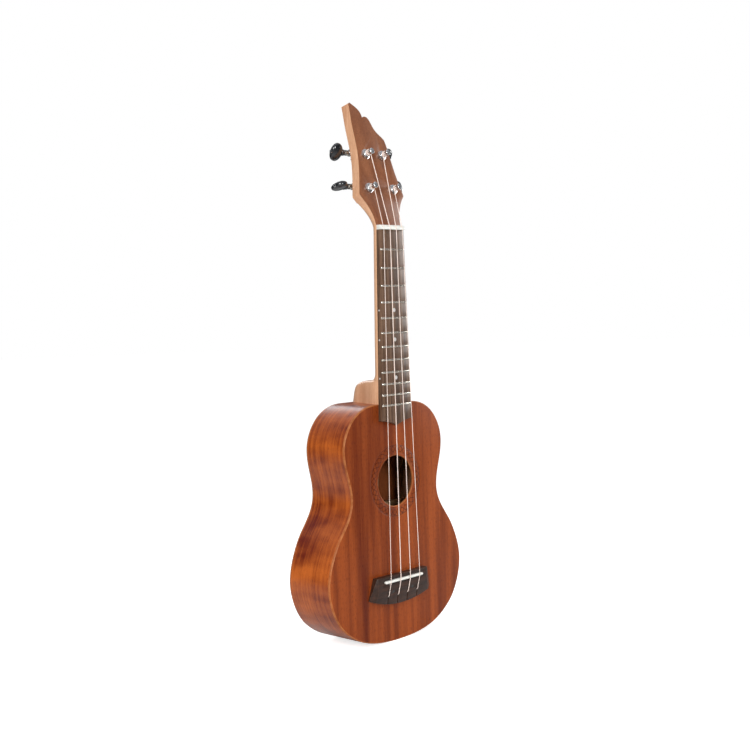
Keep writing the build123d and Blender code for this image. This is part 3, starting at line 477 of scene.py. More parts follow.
# the rounded rim takes the pale rim colour: rubbed finish and a painted highlight
mark_edge(bm, worn_and_highlit)
bmesh.ops.recalc_face_normals(bm, faces=bm.faces)
settle("back_plate", bm, back_wood, nodes=["back"])

# ================= inside the body =================
# Blocks, linings, braces and the patch under the bridge are plain wood, sawn and glued unfinished.
# A paper label with a printed border is pasted on the back, under the sound hole.
LABEL_REACH = (29.0, 20.0)
LABEL_MIDDLE_Z = HOLE_Z + 2
BORDER_AT = 0.9
ACROSS = (0, math.radians(90), 0)


def dress(node, material):
    """Gives a carried-over CAD node its material."""
    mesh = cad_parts[node].data
    mesh.materials.clear()
    mesh.materials.append(material)


inside_wood = make_wood(
    "unfinished inside wood", (0.24, 0.12, 0.05), (0.42, 0.25, 0.12), rough=(0.6, 0.8),
    coat=0.0, bump=0.3, Ribbon_Width=7.0, Ribbon_Share=0.4, Pore_Share=0.25,
)
cross_wood = make_wood(
    "unfinished brace wood", (0.26, 0.14, 0.06), (0.45, 0.28, 0.14), turn=ACROSS, rough=(0.6, 0.8),
    coat=0.0, bump=0.3, Ribbon_Width=7.0, Ribbon_Share=0.4, Pore_Share=0.25,
)
for node in ("neck_block", "tail_block", "top_linings", "back_linings"):
    dress(node, inside_wood)
for node in ("top_braces", "back_braces", "bridge_patch"):
    dress(node, cross_wood)

paper, tree, shader = new_material("label paper", Roughness=0.8)
where = millimetres(tree)
fibres = place(tree, "TexNoise", {"Vector": where, "Scale": 1.3, "Detail": 6.0, "Roughness": 0.7}).outputs[0]
stains = place(tree, "TexNoise", {"Vector": where, "Scale": 0.06, "Detail": 2.0}).outputs[0]
sheet = blend_colours(tree, fibres, (0.30, 0.24, 0.15, 1), (0.44, 0.37, 0.25, 1))
sheet = blend_colours(tree, step_up(tree, stains, 0.35, 0.75), sheet, (0.34, 0.25, 0.14, 1))
axes = place(tree, "SeparateXYZ", {0: where}).outputs
across = reckon(tree, "DIVIDE", reckon(tree, "ABSOLUTE", axes["X"]), LABEL_REACH[0])
rise = reckon(tree, "SUBTRACT", axes["Z"], LABEL_MIDDLE_Z)
upward = reckon(tree, "DIVIDE", reckon(tree, "ABSOLUTE", rise), LABEL_REACH[1])
border = reckon(tree, "COMPARE", reckon(tree, "MAXIMUM", across, upward), BORDER_AT, 0.012)
tree.links.new(blend_colours(tree, border, sheet, (0.05, 0.03, 0.02, 1)), shader.inputs["Base Color"])
emboss(tree, shader, fibres, 0.2)
dress("label", paper)

# ================= neck =================
# The neck is one piece of pale mahogany: a deep heel glued to the body, a D-shaped shaft, and a
# headstock slab that leans back 14.5 degrees. It is carved, so every part runs into the next.
HEAD_ANGLE = math.radians(14.5)
HEAD_Z = 415.0
NUT_Z = 410.5
HEAD_CORE = 10.0
HEAD_FRAME = Matrix((
    (1, 0, 0, 0),
    (0, math.sin(HEAD_ANGLE), -math.cos(HEAD_ANGLE), TOP_Y),
    (0, math.cos(HEAD_ANGLE), math.sin(HEAD_ANGLE), HEAD_Z),
    (0, 0, 0, 1),
))
HEEL_DEPTH = 51.5
HEEL_HALF_WIDTH = 21.56
OVAL_DEPTH = 13.2
SHAFT_START_Z = 269.5
SHAFT_END_Z = 408.0
SHAFT_DEPTH = 13.4
SHAFT_THINNING = 1.55
SHAFT_SECTIONS = 15
SLAB_START_V = 25.3
SECTION_POINTS = 15
SCALE_LENGTH = 346.0
NUT_HALF_WIDTH = 17.0
WIDENING = 4.6
# z and depth of a point, the heel's direction there, and how strongly the curve keeps to it
HEEL_PROFILE = (
    ((BODY_LENGTH, HEEL_DEPTH), (1.0, -0.2), 1.0),
    ((254.4, 47.4), (1.0, -0.55), 0.9),
    ((260.2, 37.0), (0.25, -1.0), 1.0),
    ((262.4, 20.5), (0.25, -1.0), 1.0),
    ((SHAFT_START_Z, SHAFT_DEPTH), (1.0, -0.06), 1.0),
)
# the same for the section at the heel's foot, as distance from the middle and depth
HEEL_FLANK = (
    ((HEEL_HALF_WIDTH, 0.0), (0.0, 1.0), 1.0),
    ((15.8, 23.5), (-0.35, 1.0), 1.0),
    ((8.8, 47.5), (-0.55, 1.0), 0.6),
    ((0.0, HEEL_DEPTH), (-1.0, 0.0), 1.6),
)
# distance up the head, left and right edge, thickness, squareness of the section
THROAT = (
    (0.0, -17.2, 17.2, 12.1, 2.0),
    (3.5, -17.35, 17.35, 11.7, 2.2),
    (7.0, -17.9, 17.95, 11.2, 2.6),
    (11.2, -18.9, 19.15, 10.7, 3.4),
    (14.5, -20.25, 20.45, 10.4, 4.6),
    (17.9, -21.9, 21.96, 10.15, 6.5),
    (21.4, -24.27, 23.95, 10.02, 10.0),
    (24.4, -26.55, 25.9, 10.0, 16.0),
)


def board_half_width(z):
    """Half the width of the fretboard, which widens evenly from the nut to the 12th fret."""
    return NUT_HALF_WIDTH + WIDENING * (NUT_Z - z) / (SCALE_LENGTH / 2)


def even_points(points, count):
    """The same line with evenly spaced points."""
    lengths = [0.0]
    for near, far in zip(points, points[1:]):
        lengths.append(lengths[-1] + (far - near).length)
    spread, at = [], 0
    for step in range(count):
        goal = lengths[-1] * step / (count - 1)
        while at < len(points) - 2 and lengths[at + 1] < goal:
            at += 1
        share = (goal - lengths[at]) / (lengths[at + 1] - lengths[at])
        spread.append(points[at].lerp(points[at + 1], min(share, 1.0)))
    return spread


def curved_side(depth, squareness):
    """Half a section from its edge to its middle, as shares of its half width and its depth."""
    quarter = [math.radians(90 * step / (SECTION_POINTS - 1)) for step in range(SECTION_POINTS)]
    power = 2 / squareness
    oval = [Vector((round(math.cos(a), 9) ** power, math.sin(a) ** power)) for a in quarter]
    heel_share = max(0.0, (depth - OVAL_DEPTH) / (HEEL_DEPTH - OVAL_DEPTH))
    if squareness > 2 or not heel_share:
        return oval
    foot = even_points(trace(HEEL_FLANK, 1.5), SECTION_POINTS)
    vee = [Vector((x / HEEL_HALF_WIDTH, d / HEEL_DEPTH)) for x, d in foot]
    return [near.lerp(far, heel_share**0.7) for near, far in zip(oval, vee)]


def lay_section(bm, left, right, depth, squareness, locate):
    """Lays one ring of the neck; locate turns (across, depth) into a place."""
    middle, half = (left + right) / 2, (right - left) / 2
    side = [(x * half, d * depth) for x, d in curved_side(depth, squareness)]
    ring = [(middle + x, d) for x, d in side] + [(middle - x, d) for x, d in reversed(side[:-1])]
    return lay_ring(bm, [locate(x, d) for x, d in ring])


def copy_node(node):
    """A merged copy of a CAD node, in millimetres, with its flat faces made whole."""
    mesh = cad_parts[node].data.copy()
    if "custom_normal" in mesh.attributes:
        mesh.attributes.remove(mesh.attributes["custom_normal"])
    bm = bmesh.new()
    bm.from_mesh(mesh)
    bpy.data.meshes.remove(mesh)
    bmesh.ops.scale(bm, vec=(1 / MM,) * 3, verts=bm.verts)
    bmesh.ops.remove_doubles(bm, verts=bm.verts, dist=0.003)
    bmesh.ops.dissolve_limit(bm, angle_limit=math.radians(0.2), verts=bm.verts, edges=bm.edges)
    return bm


def soften(bm, width, segments=2, only=lambda edge: True, least=30):
    """Rounds over the sharp edges and marks the new faces as edges."""
    sharp = [
        edge for edge in bm.edges
        if len(edge.link_faces) == 2 and edge.calc_face_angle(0) > math.radians(least) and only(edge)
    ]
    made = bmesh.ops.bevel(
        bm, geom=sharp, offset=width, offset_type="OFFSET", segments=segments, profile=0.5,
        affect="EDGES", clamp_overlap=True, material=-1,
    )
    mark_edge(bm, made["faces"])


def on_head(u, v, w):
    """A place given across the head, up it, and out of its front."""
    return HEAD_FRAME @ Vector((u, v, w))


neck_wood = make_wood(
    "neck mahogany", (0.58, 0.28, 0.15), (0.88, 0.53, 0.32), edge_colour=(0.85, 0.55, 0.34), wear_and_highlight=0.5,
    rough=(0.32, 0.46), coat=0.3, Ribbon_Width=11.0, Ribbon_Share=0.45, Fibre_Width=1.1, Pore_Share=0.4,
)

bm = copy_node("neck")
head_back = on_head(0, 0, -HEAD_CORE)
face_way = on_head(0, 0, 1) - on_head(0, 0, 0)
up_way = on_head(0, 1, 0) - on_head(0, 0, 0)
soften(bm, 0.8, 3, lambda edge: all(abs((v.co - head_back).dot(face_way)) < 0.05 for v in edge.verts))
cut_away(bm, on_head(0, SLAB_START_V, 0), up_way, clear_inner=True)
slab_rim = [edge for edge in bm.edges if edge.is_boundary]
back_line = list(even_points(trace(HEEL_PROFILE, 0.6), 30))
for step in range(1, SHAFT_SECTIONS + 1):
    share = step / SHAFT_SECTIONS
    z = SHAFT_START_Z + (SHAFT_END_Z - SHAFT_START_Z) * share
    back_line.append((z, SHAFT_DEPTH - SHAFT_THINNING * share))
rings = []
for z, depth in back_line:
    half = board_half_width(z)
    rings.append(lay_section(bm, -half, half, depth, 2, lambda x, d, z=z: (x, TOP_Y + d, z)))
for v, left, right, depth, squareness in THROAT:
    rings.append(lay_section(bm, left, right, depth, squareness, lambda x, d, v=v: on_head(x, v, -d)))
for near, far in zip(rings, rings[1:]):
    bmesh.ops.bridge_loops(bm, edges=near + far)
mark_edge(bm, bmesh.ops.bridge_loops(bm, edges=rings[-1] + slab_rim)["faces"], 0.0)
bmesh.ops.holes_fill(bm, edges=rings[0], sides=0)
bmesh.ops.recalc_face_normals(bm, faces=bm.faces)
settle("neck_carving", bm, neck_wood, nodes=["neck"], crease=38)

# ================= head veneer =================
# A 1 mm sheet of darker mahogany is glued on the headstock's front. It is sawn to the same feather
# shape as the wood under it, and its front edge is eased.
# the paler edge colour on the eased front edge is partly rubbed finish and partly a painted highlight
veneer_wood = make_wood(
    "head veneer", (0.15, 0.045, 0.018), (0.30, 0.115, 0.05), shift=(0, 0, 57),
    edge_colour=(0.42, 0.17, 0.07), wear_and_highlight=0.7, Ribbon_Width=8.0, Ribbon_Share=0.4, Fibre_Width=0.7,
)
bm = copy_node("head_veneer")
soften(bm, 0.3, 2, lambda edge: all((v.co - on_head(0, 0, 0)).dot(face_way) > 0.9 for v in edge.verts))
settle("head_facing", bm, veneer_wood, nodes=["head_veneer"])

# ================= fretboard =================
# The board is a strip of dark striped hardwood, glued along the neck and over the soundboard, where
# it ends in a shallow ogee point. Its edges are eased, and mother-of-pearl dots mark three places.
POINT_START_Z = 222.6
DOT_REACH = 3.0


def on_board_rim(edge):
    """Whether an edge is on the board's rim, and not round a dot's pocket."""
    near, far = (vertex.co for vertex in edge.verts)
    level = abs(near.y - far.y) < 0.1
    return level and min(abs(near.x), abs(far.x)) > DOT_REACH or near.z < POINT_START_Z


# the paler edge colour paints a highlight along the eased rim, besides rubbed finish
board_wood = make_wood(
    "fretboard hardwood", (0.035, 0.017, 0.010), (0.20, 0.115, 0.07), edge_colour=(0.30, 0.17, 0.09),
    wear_and_highlight=0.5, rough=(0.36, 0.5), Ribbon_Width=3.4, Ribbon_Share=0.6, Fibre_Width=0.6, Pore_Share=0.6,
)
bm = copy_node("fretboard")
soften(bm, 0.35, 2, on_board_rim)
settle("fretboard_strip", bm, board_wood, nodes=["fretboard"])

pearl, tree, shader = new_material("mother-of-pearl", Roughness=0.18, Coat_Weight=0.5)
where = millimetres(tree)
cells = place(tree, "TexVoronoi", {"Vector": where, "Scale": 0.9}, feature="SMOOTH_F1").outputs["Distance"]
sheen = place(tree, "TexNoise", {"Vector": where, "Scale": 0.7, "Detail": 4.0, "Distortion": 1.5}).outputs[0]
shell = blend_colours(tree, cells, (0.62, 0.60, 0.55, 1), (0.46, 0.53, 0.55, 1))
shell = blend_colours(tree, step_up(tree, sheen, 0.4, 0.7), shell, (0.66, 0.56, 0.53, 1))
tree.links.new(shell, shader.inputs["Base Color"])
emboss(tree, shader, sheen, 0.05)
dress("position_dots", pearl)
dress("side_dots", pearl)

# ================= frets =================
# Twelve frets of crowned nickel wire, pressed in across the board, with filed and bevelled ends.
BOARD_FACE_Y = TOP_Y - 4.7
FRETS = 12
FRET_INSET = 0.3
FRET_HEIGHT = 0.9
FRET_HALF_WIDTH = 1.0
TANG_DEPTH = 0.2
TANG_HALF_WIDTH = 0.9
CROWN_STEPS = 9
# distance from the wire's end, and share of its full height there
FRET_END = ((0.0, 0.2), (0.25, 0.55), (0.8, 1.0))


def fret_z(number):
    """Height of a fret, from the equal-tempered scale."""
    return NUT_Z - SCALE_LENGTH * (1 - 2 ** (-number / 12))


def make_handling():
    """Faint scratches and finger marks, for metal and plastic."""
    tree, given, result = open_group(
        "handling marks",
        (
            ("Vector", "Vector", (0, 0, 0)),
            ("Low", "Float", 0.1),
            ("High", "Float", 0.3),
            ("Patch Size", "Float", 5.0),
        ),
        (("Roughness", "Float"), ("Height", "Float"), ("Mask", "Float")),
    )
    where, size = given["Vector"], given["Patch Size"]
    smears = noise(tree, where, size, size, Detail=5.0, Roughness=0.6)
    hairs = noise(tree, where, size, size, Scale=22.0, Detail=2.0, Distortion=2.0)
    mask = step_up(tree, smears, 0.42, 0.7)
    feeds = {"Value": mask, "To Min": given["Low"], "To Max": given["High"]}
    tree.links.new(place(tree, "MapRange", feeds).outputs[0], result["Roughness"])
    tree.links.new(reckon(tree, "MULTIPLY", hairs, mask), result["Height"])
    tree.links.new(mask, result["Mask"])
    return tree


HANDLING = make_handling()


def make_smooth(name, colour, worn_and_highlit, rough, metallic=0.0, coat=0.0, bump=0.03, patch=5.0, wear_and_highlight=0.4):
    """A metal or plastic with finger marks, fine scratches and rubbed edges."""
    material, tree, shader = new_material(name, Metallic=metallic, Coat_Weight=coat)
    where = millimetres(tree)
    feeds = {"Vector": where, "Patch Size": patch, "Low": rough[0], "High": rough[1]}
    marks = place(tree, "Group", feeds, node_tree=HANDLING).outputs
    feeds = {"Vector": where, "Patch Size": patch, "Amount": wear_and_highlight}
    rubbed = place(tree, "Group", feeds, node_tree=EDGE_WEAR_AND_HIGHLIGHT).outputs["Mask"]
    dull = [0.85 * part for part in colour]
    colour = blend_colours(tree, marks["Mask"], (*colour, 1), (*dull, 1))
    tree.links.new(blend_colours(tree, rubbed, colour, (*worn_and_highlit, 1)), shader.inputs["Base Color"])
    tree.links.new(marks["Roughness"], shader.inputs["Roughness"])
    emboss(tree, shader, marks["Height"], bump)
    return material


nickel = make_smooth(
    "nickel silver", (0.72, 0.68, 0.60), (0.85, 0.82, 0.75), (0.16, 0.34), metallic=1.0, patch=4.0
)

bm = bmesh.new()
mark_edge(bm, ())
for number in range(1, FRETS + 1):
    z = fret_z(number)
    half = board_half_width(z) - FRET_INSET
    stations = [(inwards - half, rise) for inwards, rise in FRET_END]
    stations += [(0, 1.0)] + [(-x, rise) for x, rise in reversed(stations)]
    rings = []
    for x, rise in stations:
        ring = [
            (x, BOARD_FACE_Y - rise * FRET_HEIGHT * math.sin(turn), z + FRET_HALF_WIDTH * math.cos(turn))
            for turn in (math.pi * step / CROWN_STEPS for step in range(CROWN_STEPS + 1))
        ]
        ring += [(x, BOARD_FACE_Y + TANG_DEPTH, z + end) for end in (-TANG_HALF_WIDTH, TANG_HALF_WIDTH)]
        rings.append(lay_ring(bm, ring))
    for near, far in zip(rings, rings[1:]):
        bmesh.ops.bridge_loops(bm, edges=near + far)
    for ring in (rings[0], rings[-1]):
        bmesh.ops.contextual_create(bm, geom=ring)
bmesh.ops.recalc_face_normals(bm, faces=bm.faces)
settle("fret_wires", bm, nickel, nodes=["frets"])

# ================= nut and saddle =================
# Both are moulded from ivory-white plastic. The nut stands across the end of the board with a slot
# for each string, and the saddle drops into the bridge with a rounded top.
white = make_smooth(
    "white plastic", (0.80, 0.80, 0.74), (0.88, 0.88, 0.84), (0.28, 0.42), coat=0.1, bump=0.05, patch=3.0
)
for node, name, width in (("nut", "nut_bar", 0.22), ("saddle", "saddle_bar", 0.12)):
    bm = copy_node(node)
    soften(bm, width)
    settle(name, bm, white, nodes=[node])

# ================= bridge =================
# The bridge is dark hardwood with its grain across the body, glued to the soundboard. Its ends
# fall in facets, and two small dark plugs hide its screws.
# the pale grey edge colour paints glossy highlights on the eased edges, besides rubbed finish
bridge_wood = make_wood(
    "bridge hardwood", (0.010, 0.004, 0.002), (0.052, 0.020, 0.010), turn=ACROSS,
    edge_colour=(0.20, 0.13, 0.09), rough=(0.36, 0.52), coat=0.15, Ribbon_Width=3.2, Ribbon_Share=0.6,
    Fibre_Width=0.6, Pore_Share=0.6,
)
bm = copy_node("bridge")
soften(bm, 0.4, 3)
settle("bridge_block", bm, bridge_wood, nodes=["bridge"])
plug_black = make_smooth("black plug", (0.012, 0.012, 0.012), (0.05, 0.05, 0.05), (0.3, 0.5))
dress("bridge_plugs", plug_black)

# ================= strings =================
# Four clear nylon strings. Each is knotted behind the bridge, passes over the saddle and the nut,
# and is wound three turns round its post with the cut end through the post's hole.
SADDLE_SPACING = 14.2
NUT_SPACING = 8.9
KNOT_Y, KNOT_Z = TOP_Y - 2.0, 43.6
SLOT_Y, SLOT_Z = TOP_Y - 6.3, 49.0
SADDLE_Y, SADDLE_Z = TOP_Y - 9.5, 63.0
NUT_BREAK_Y, NUT_BREAK_Z = TOP_Y - 6.36, 411.3
KNOT_TURNS = 2.2
KNOT_STEPS = 16
POST_WAIST = 2.4
POST_TURNS = 3.0
STEPS_PER_TURN = 14
WOUND_W = 5.8
POST_HOLE_W = 8.2
STRINGS = {  # place in the row, diameter, post's u and v, side of the head
    "g": (-1.5, 0.61, -17.1, 37.5, -1),
    "c": (-0.5, 0.86, -11.6, 72.8, -1),
    "e": (0.5, 0.79, 11.6, 72.8, 1),
    "a": (1.5, 0.66, 17.1, 37.5, 1),
}


def tube(bm, points, radius):
    """Adds a smooth round string along control points, in millimetres."""
    curve = bpy.data.curves.new("run", "CURVE")
    curve.dimensions = "3D"
    curve.bevel_depth, curve.bevel_resolution, curve.use_fill_caps = radius, 4, True
    curve.resolution_u = 5
    spline = curve.splines.new("NURBS")
    spline.points.add(len(points) - 1)
    for point, spot in zip(spline.points, points):
        point.co = (*spot, 1.0)
    spline.order_u = 3
    spline.use_endpoint_u = True
    holder = bpy.data.objects.new("run", curve)
    bpy.context.scene.collection.objects.link(holder)
    made = bpy.data.meshes.new_from_object(holder.evaluated_get(bpy.context.evaluated_depsgraph_get()))
    bm.from_mesh(made)
    bpy.data.objects.remove(holder)
    bpy.data.curves.remove(curve)
    bpy.data.meshes.remove(made)


def corner(before, point, after, reach):
    """Three control points that round a corner tightly."""
    towards, away = (before - point).normalized(), (after - point).normalized()
    return [point + towards * reach, point, point + away * reach]


nylon, tree, shader = new_material("clear nylon", IOR=1.53, Transmission_Weight=0.15, Coat_Weight=0.2)
cloudy = noise(tree, millimetres(tree), 0.5, 12.5, Detail=3.0)
tint = blend_colours(tree, cloudy, (0.86, 0.66, 0.56, 1), (0.96, 0.84, 0.77, 1))
tree.links.new(tint, shader.inputs["Base Color"])
tree.links.new(step_up(tree, cloudy, -1.2, 2.6), shader.inputs["Roughness"])
emboss(tree, shader, cloudy, 0.03)

for name, (row, diameter, u, v, side) in STRINGS.items():
    radius = diameter / 2
    x = row * SADDLE_SPACING
    knot = Vector((x, KNOT_Y, KNOT_Z))
    exit_slot = Vector((x, SLOT_Y, SLOT_Z))
    saddle = Vector((x, SADDLE_Y - radius, SADDLE_Z))
    nut = Vector((row * NUT_SPACING, NUT_BREAK_Y - radius, NUT_BREAK_Z))
    touch = on_head(u - side * (POST_WAIST + radius), v, WOUND_W)
    bm = bmesh.new()
    run = [knot, knot + Vector((0, -0.2, 1.6))]
    for before, point, after, reach in (
        (knot, exit_slot, saddle, 1.2), (exit_slot, saddle, nut, 1.8), (saddle, nut, touch, 1.8)
    ):
        run += corner(before, point, after, reach)
    run += [touch.lerp(nut, 0.03), touch]
    tube(bm, run, radius)
    # the knot: the end goes twice round the string, and its tail is cut short
    loops = []
    for share in (step / KNOT_STEPS for step in range(KNOT_STEPS + 1)):
        turn = math.tau * KNOT_TURNS * share
        swing = (1.15 * diameter * math.cos(turn), diameter * math.sin(turn), 2.2 * diameter * share - 1.2)
        loops.append(knot + Vector(swing))
    tube(bm, loops + [loops[-1] + Vector((0.6, -0.7, -0.6))], radius * 0.95)
    settle(f"string_run_{name}", bm, nylon, nodes=[f"string_{name}"], crease=60)
    # the turns on the post, and the cut end through its hole
    bm = bmesh.new()
    ring = POST_WAIST + radius + 0.02
    start = math.pi if side > 0 else 0.0
    coil = []
    for turns in (step / STEPS_PER_TURN for step in range(int(POST_TURNS * STEPS_PER_TURN) + 1)):
        turn = start + side * math.tau * turns
        w = WOUND_W - 1.35 * diameter + 1.02 * diameter * turns
        coil.append(on_head(u + ring * math.cos(turn), v + ring * math.sin(turn), w))
    coil.append(on_head(u + 0.85 * ring * math.cos(start), v - 1.1 * side, POST_HOLE_W - 0.1))
    for reach in (POST_WAIST, 0.0, -POST_WAIST - 2.2):
        coil.append(on_head(u + reach * math.cos(start), v, POST_HOLE_W))
    tube(bm, coil, radius)
    settle(
        f"string_turns_{name}", bm, nylon, body=f"peg_{name}", nodes=[f"winding_{name}"],
        crease=60,
    )

# ================= tuners =================
# Each is an open machine: a chromed plate behind the head, with two lugs for a steel worm. The worm
# drives a brass gear on the string post, and a bushing and one screw clamp the plate to the head.
chrome = make_smooth(
    "chrome", (0.78, 0.79, 0.80), (0.92, 0.92, 0.92), (0.05, 0.16), metallic=1.0, bump=0.02, patch=4.0,
    wear_and_highlight=0.3,
)
brass = make_smooth(
    "gear brass", (0.66, 0.43, 0.14), (0.80, 0.58, 0.26), (0.24, 0.42), metallic=1.0, patch=2.0
)
steel = make_smooth(
    "shaft steel", (0.56, 0.53, 0.49), (0.75, 0.73, 0.70), (0.18, 0.36), metallic=1.0, patch=2.0
)
gloss_black = make_smooth(
    "black button plastic", (0.010, 0.011, 0.013), (0.05, 0.055, 0.06), (0.07, 0.2), coat=0.6, bump=0.02,
    wear_and_highlight=0.35,
)
WORM_V = 6.5
SHAFT_W = -14.5
SCREW_V = 14.5
MACHINE_PLATE = 1.4
BUTTON_CENTRE = 23.8
BUTTON_SIZE = (14.5, 18.5, 7.6)
BUTTON_SWELL = 0.06
BUTTON_FULLNESS = 0.72
BUTTON_TURN = {"g": 0.0, "c": 50.0, "e": 40.0, "a": 70.0}
# profiles of (radius, height): a washer, a rounded nut and a throat round the post
BUSHING = (
    (3.12, 2.7), (3.12, 3.1), (3.3, 3.3), (4.1, 3.3), (4.55, 3.1), (4.72, 2.7), (4.72, 1.75), (4.95, 1.65),
    (5.0, 1.5), (5.0, 1.1), (4.9, 1.02), (4.1, 1.02), (4.05, 2.6), (3.12, 2.7),
)
# a domed screw head on a thin shank
PLATE_SCREW = (
    (0, 1.15), (0.7, 1.08), (1.3, 0.85), (1.75, 0.45), (1.95, 0.1), (1.9, 0.0), (0.9, 0.0), (0.9, -6.0),
    (0, -7.0),
)
# the button's hub, with two beads
HUB = (
    (1.8, 14.0), (2.7, 14.0), (3.1, 14.4), (3.2, 14.8), (3.2, 15.2), (2.9, 15.5), (2.9, 15.8), (3.2, 16.1),
    (3.2, 17.0), (3.6, 18.3), (1.8, 19.4), (1.8, 14.0),
)


def add_turned(whole, profile, steps, matrix):
    """Spins a profile about Z into a closed solid, and adds it to a model at its place."""
    bm = bmesh.new()
    line = [bm.verts.new((radius, 0, height)) for radius, height in profile]
    edges = [bm.edges.new(pair) for pair in zip(line, line[1:])]
    bmesh.ops.spin(
        bm, geom=line + edges, cent=(0, 0, 0), axis=(0, 0, 1), angle=math.tau, steps=steps, use_merge=True
    )
    bmesh.ops.remove_doubles(bm, verts=bm.verts, dist=0.0005)
    bmesh.ops.recalc_face_normals(bm, faces=bm.faces)
    bmesh.ops.transform(bm, matrix=matrix, verts=bm.verts)
    mesh = bpy.data.meshes.new("turned")
    bm.to_mesh(mesh)
    bm.free()
    whole.from_mesh(mesh)
    bpy.data.meshes.remove(mesh)


bushings = bmesh.new()
screws = bmesh.new()
for name, (_, _, u, v, side) in STRINGS.items():
    peg, turner = f"peg_{name}", f"turner_{name}"
    bm = copy_node(f"tuner_frame_{name}")
    soften(bm, 0.25, 2)
    settle(f"machine_plate_{name}", bm, chrome, nodes=[f"tuner_frame_{name}"])
    bm = copy_node(f"string_post_{name}")
    soften(bm, 0.12, 2)
    settle(f"post_{name}", bm, chrome, body=peg, nodes=[f"string_post_{name}"])
    dress(f"tuner_gear_{name}", brass)
    dress(f"tuner_worm_{name}", steel)
    add_turned(bushings, BUSHING, 48, HEAD_FRAME @ Matrix.Translation((u, v, 0)))
    under = Matrix.Translation((u, v + SCREW_V, -HEAD_CORE - MACHINE_PLATE))
    add_turned(screws, PLATE_SCREW, 32, HEAD_FRAME @ under @ Matrix.Rotation(math.pi, 4, "X"))

    # the button: a full oval with a hub, both on the worm's shaft along X
    bm = bmesh.new()
    mark_edge(bm, ())
    bmesh.ops.create_uvsphere(bm, u_segments=56, v_segments=28, radius=1.0)
    length, width, thickness = BUTTON_SIZE
    for vertex in bm.verts:
        x, y, z = vertex.co
        spread = (1.0 + BUTTON_SWELL * x) / 1.02
        plump = math.copysign(abs(z) ** BUTTON_FULLNESS, z)
        vertex.co = (x * length / 2, y * width / 2 * spread, plump * thickness / 2)
    turn = Matrix.Rotation(math.radians(90 - BUTTON_TURN[name] * side), 4, "X")
    bmesh.ops.transform(bm, matrix=Matrix.Translation((BUTTON_CENTRE, 0, 0)) @ turn, verts=bm.verts)
    add_turned(bm, HUB, 40, Matrix.Rotation(math.radians(90), 4, "Y"))
    if side < 0:
        bmesh.ops.rotate(bm, cent=(0, 0, 0), matrix=Matrix.Rotation(math.pi, 3, "Z"), verts=bm.verts)
    shaft = HEAD_FRAME @ Matrix.Translation((u, v + WORM_V, SHAFT_W))
    bmesh.ops.transform(bm, matrix=shaft, verts=bm.verts)
    settle(
        f"button_{name}", bm, gloss_black, body=turner, nodes=[f"tuner_button_{name}"],
    )
    bm = copy_node(f"button_screw_{name}")
    soften(bm, 0.1, 2)
    settle(f"cap_screw_{name}", bm, chrome, body=turner, nodes=[f"button_screw_{name}"])

mark_edge(bushings, ())
mark_edge(screws, ())
settle("bushing_nuts", bushings, chrome, nodes=["tuner_bushings"])
settle("plate_screws", screws, chrome, nodes=["tuner_screws"])

# ================= studio =================
# The instrument stands on a plain pale floor in a bright room that is dark below, so that the wood
# keeps its depth. A soft lamp stands on each of the four sides, and the camera low at the front left.
AZIMUTH, ELEVATION, ROLL = (math.radians(degrees) for degrees in (-46.249, 3.583, -1.761))
CAMERA_DISTANCE = 1213.06
AIM_Z = 237.5
AIM_LEFT, AIM_UP = 18.35, 21.011
FOCAL_LENGTH = 58.37136
LENS_SHIFT = 0.0110667
LAMP_AIM = (0, 0, 0.25)

bm = bmesh.new()
bmesh.ops.create_circle(bm, cap_ends=True, segments=96, radius=9.0)
ground = bpy.data.meshes.new("floor")
bm.to_mesh(ground)
bm.free()
floor = bpy.data.objects.new("floor", ground)
bpy.context.scene.collection.objects.link(floor)
pale, tree, shader = new_material("pale floor", Roughness=0.9, Specular_IOR_Level=0.1)
where = place(tree, "TexCoord").outputs["Object"]
distance = place(tree, "VectorMath", {0: where}, operation="LENGTH").outputs["Value"]
feeds = {"Value": distance, "From Min": 0.1, "From Max": 1.0, "To Min": 0.72, "To Max": 1.0}
glow = place(tree, "MapRange", feeds).outputs[0]
seen = place(tree, "LightPath").outputs["Is Camera Ray"]
near = step_up(tree, distance, 1.0, 0.3)
ground_colour = blend_colours(tree, near, (0.15, 0.15, 0.15, 1), (0.75, 0.75, 0.74, 1))
tree.links.new(ground_colour, shader.inputs["Base Color"])
shader.inputs["Emission Color"].default_value = (1, 1, 1, 1)
tree.links.new(reckon(tree, "MULTIPLY", glow, seen), shader.inputs["Emission Strength"])
ground.materials.append(pale)

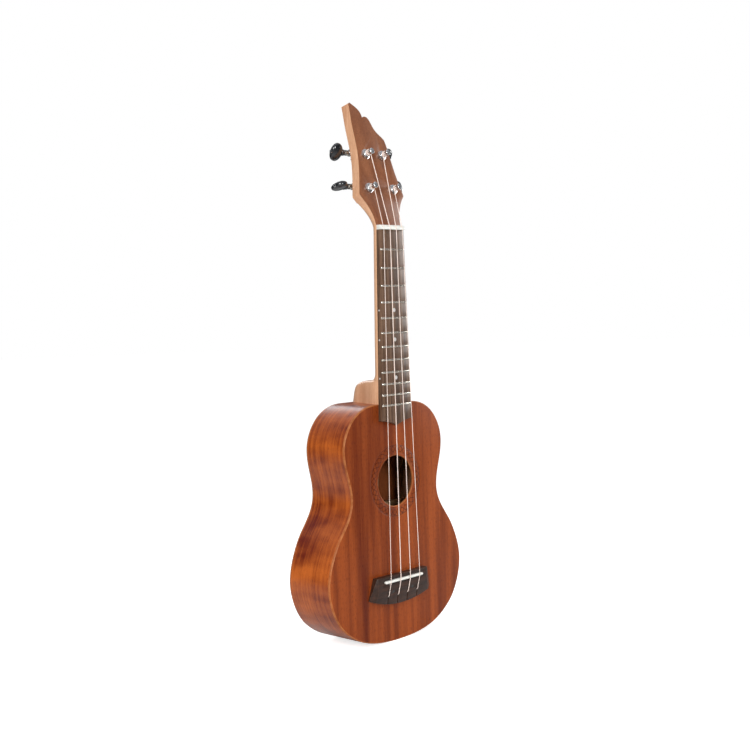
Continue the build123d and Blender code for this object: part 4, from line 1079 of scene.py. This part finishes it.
world = bpy.data.worlds.new("room")
bpy.context.scene.world = world
world.use_nodes = True
tree = world.node_tree
where = place(tree, "TexCoord").outputs["Generated"]
height = place(tree, "SeparateXYZ", {0: where}).outputs["Z"]
low = blend_colours(tree, step_up(tree, height, 0.1, 0.5), (0.04, 0.04, 0.04, 1), (0.3, 0.3, 0.31, 1))
room = blend_colours(tree, step_up(tree, height, 0.5, 0.85), low, (0.8, 0.81, 0.84, 1))
seen = place(tree, "LightPath").outputs["Is Camera Ray"]
backdrop = tree.nodes["Background"]
tree.links.new(blend_colours(tree, seen, room, (1, 1, 1, 1)), backdrop.inputs["Color"])
backdrop.inputs["Strength"].default_value = 1.0


def lamp(name, stand, power, size):
    """A square soft lamp, pointed at the body."""
    data = bpy.data.lights.new(name, "AREA")
    data.energy, data.shape, data.size = power, "SQUARE", size
    made = bpy.data.objects.new(name, data)
    made.location = stand
    made.rotation_mode = "QUATERNION"
    made.rotation_quaternion = (Vector(LAMP_AIM) - Vector(stand)).to_track_quat("-Z", "Y")
    made.visible_camera = False
    bpy.context.scene.collection.objects.link(made)


lamp("left softbox", (-1.7, -0.7, 1.0), 22.0, 0.7)
lamp("front softbox", (-0.9, -1.95, 0.7), 25.0, 0.6)
lamp("right softbox", (1.9, -0.7, 0.6), 20.0, 0.8)
lamp("back softbox", (0.8, 1.8, 1.2), 9.0, 1.0)

level = Vector((math.cos(AZIMUTH), math.sin(AZIMUTH), 0))
away = Vector((math.sin(AZIMUTH), -math.cos(AZIMUTH), 0))
back = math.cos(ELEVATION) * away + Vector((0, 0, math.sin(ELEVATION)))
upright = back.cross(level)
right = math.cos(ROLL) * level + math.sin(ROLL) * upright
up = math.cos(ROLL) * upright - math.sin(ROLL) * level
aim = Vector((0, TOP_Y, AIM_Z)) - AIM_LEFT * right + AIM_UP * up
lens = bpy.data.cameras.new("camera")
lens.sensor_width = 36.0
lens.lens = FOCAL_LENGTH
lens.shift_y = LENS_SHIFT
lens.clip_start, lens.clip_end = 0.05, 30.0
camera = bpy.data.objects.new("camera", lens)
camera.rotation_mode = "QUATERNION"
camera.rotation_quaternion = Matrix((right, up, back)).transposed().to_quaternion()
camera.location = (aim + CAMERA_DISTANCE * back) * MM
bpy.context.scene.collection.objects.link(camera)
bpy.context.scene.camera = camera
bpy.context.scene.view_settings.view_transform = "Standard"
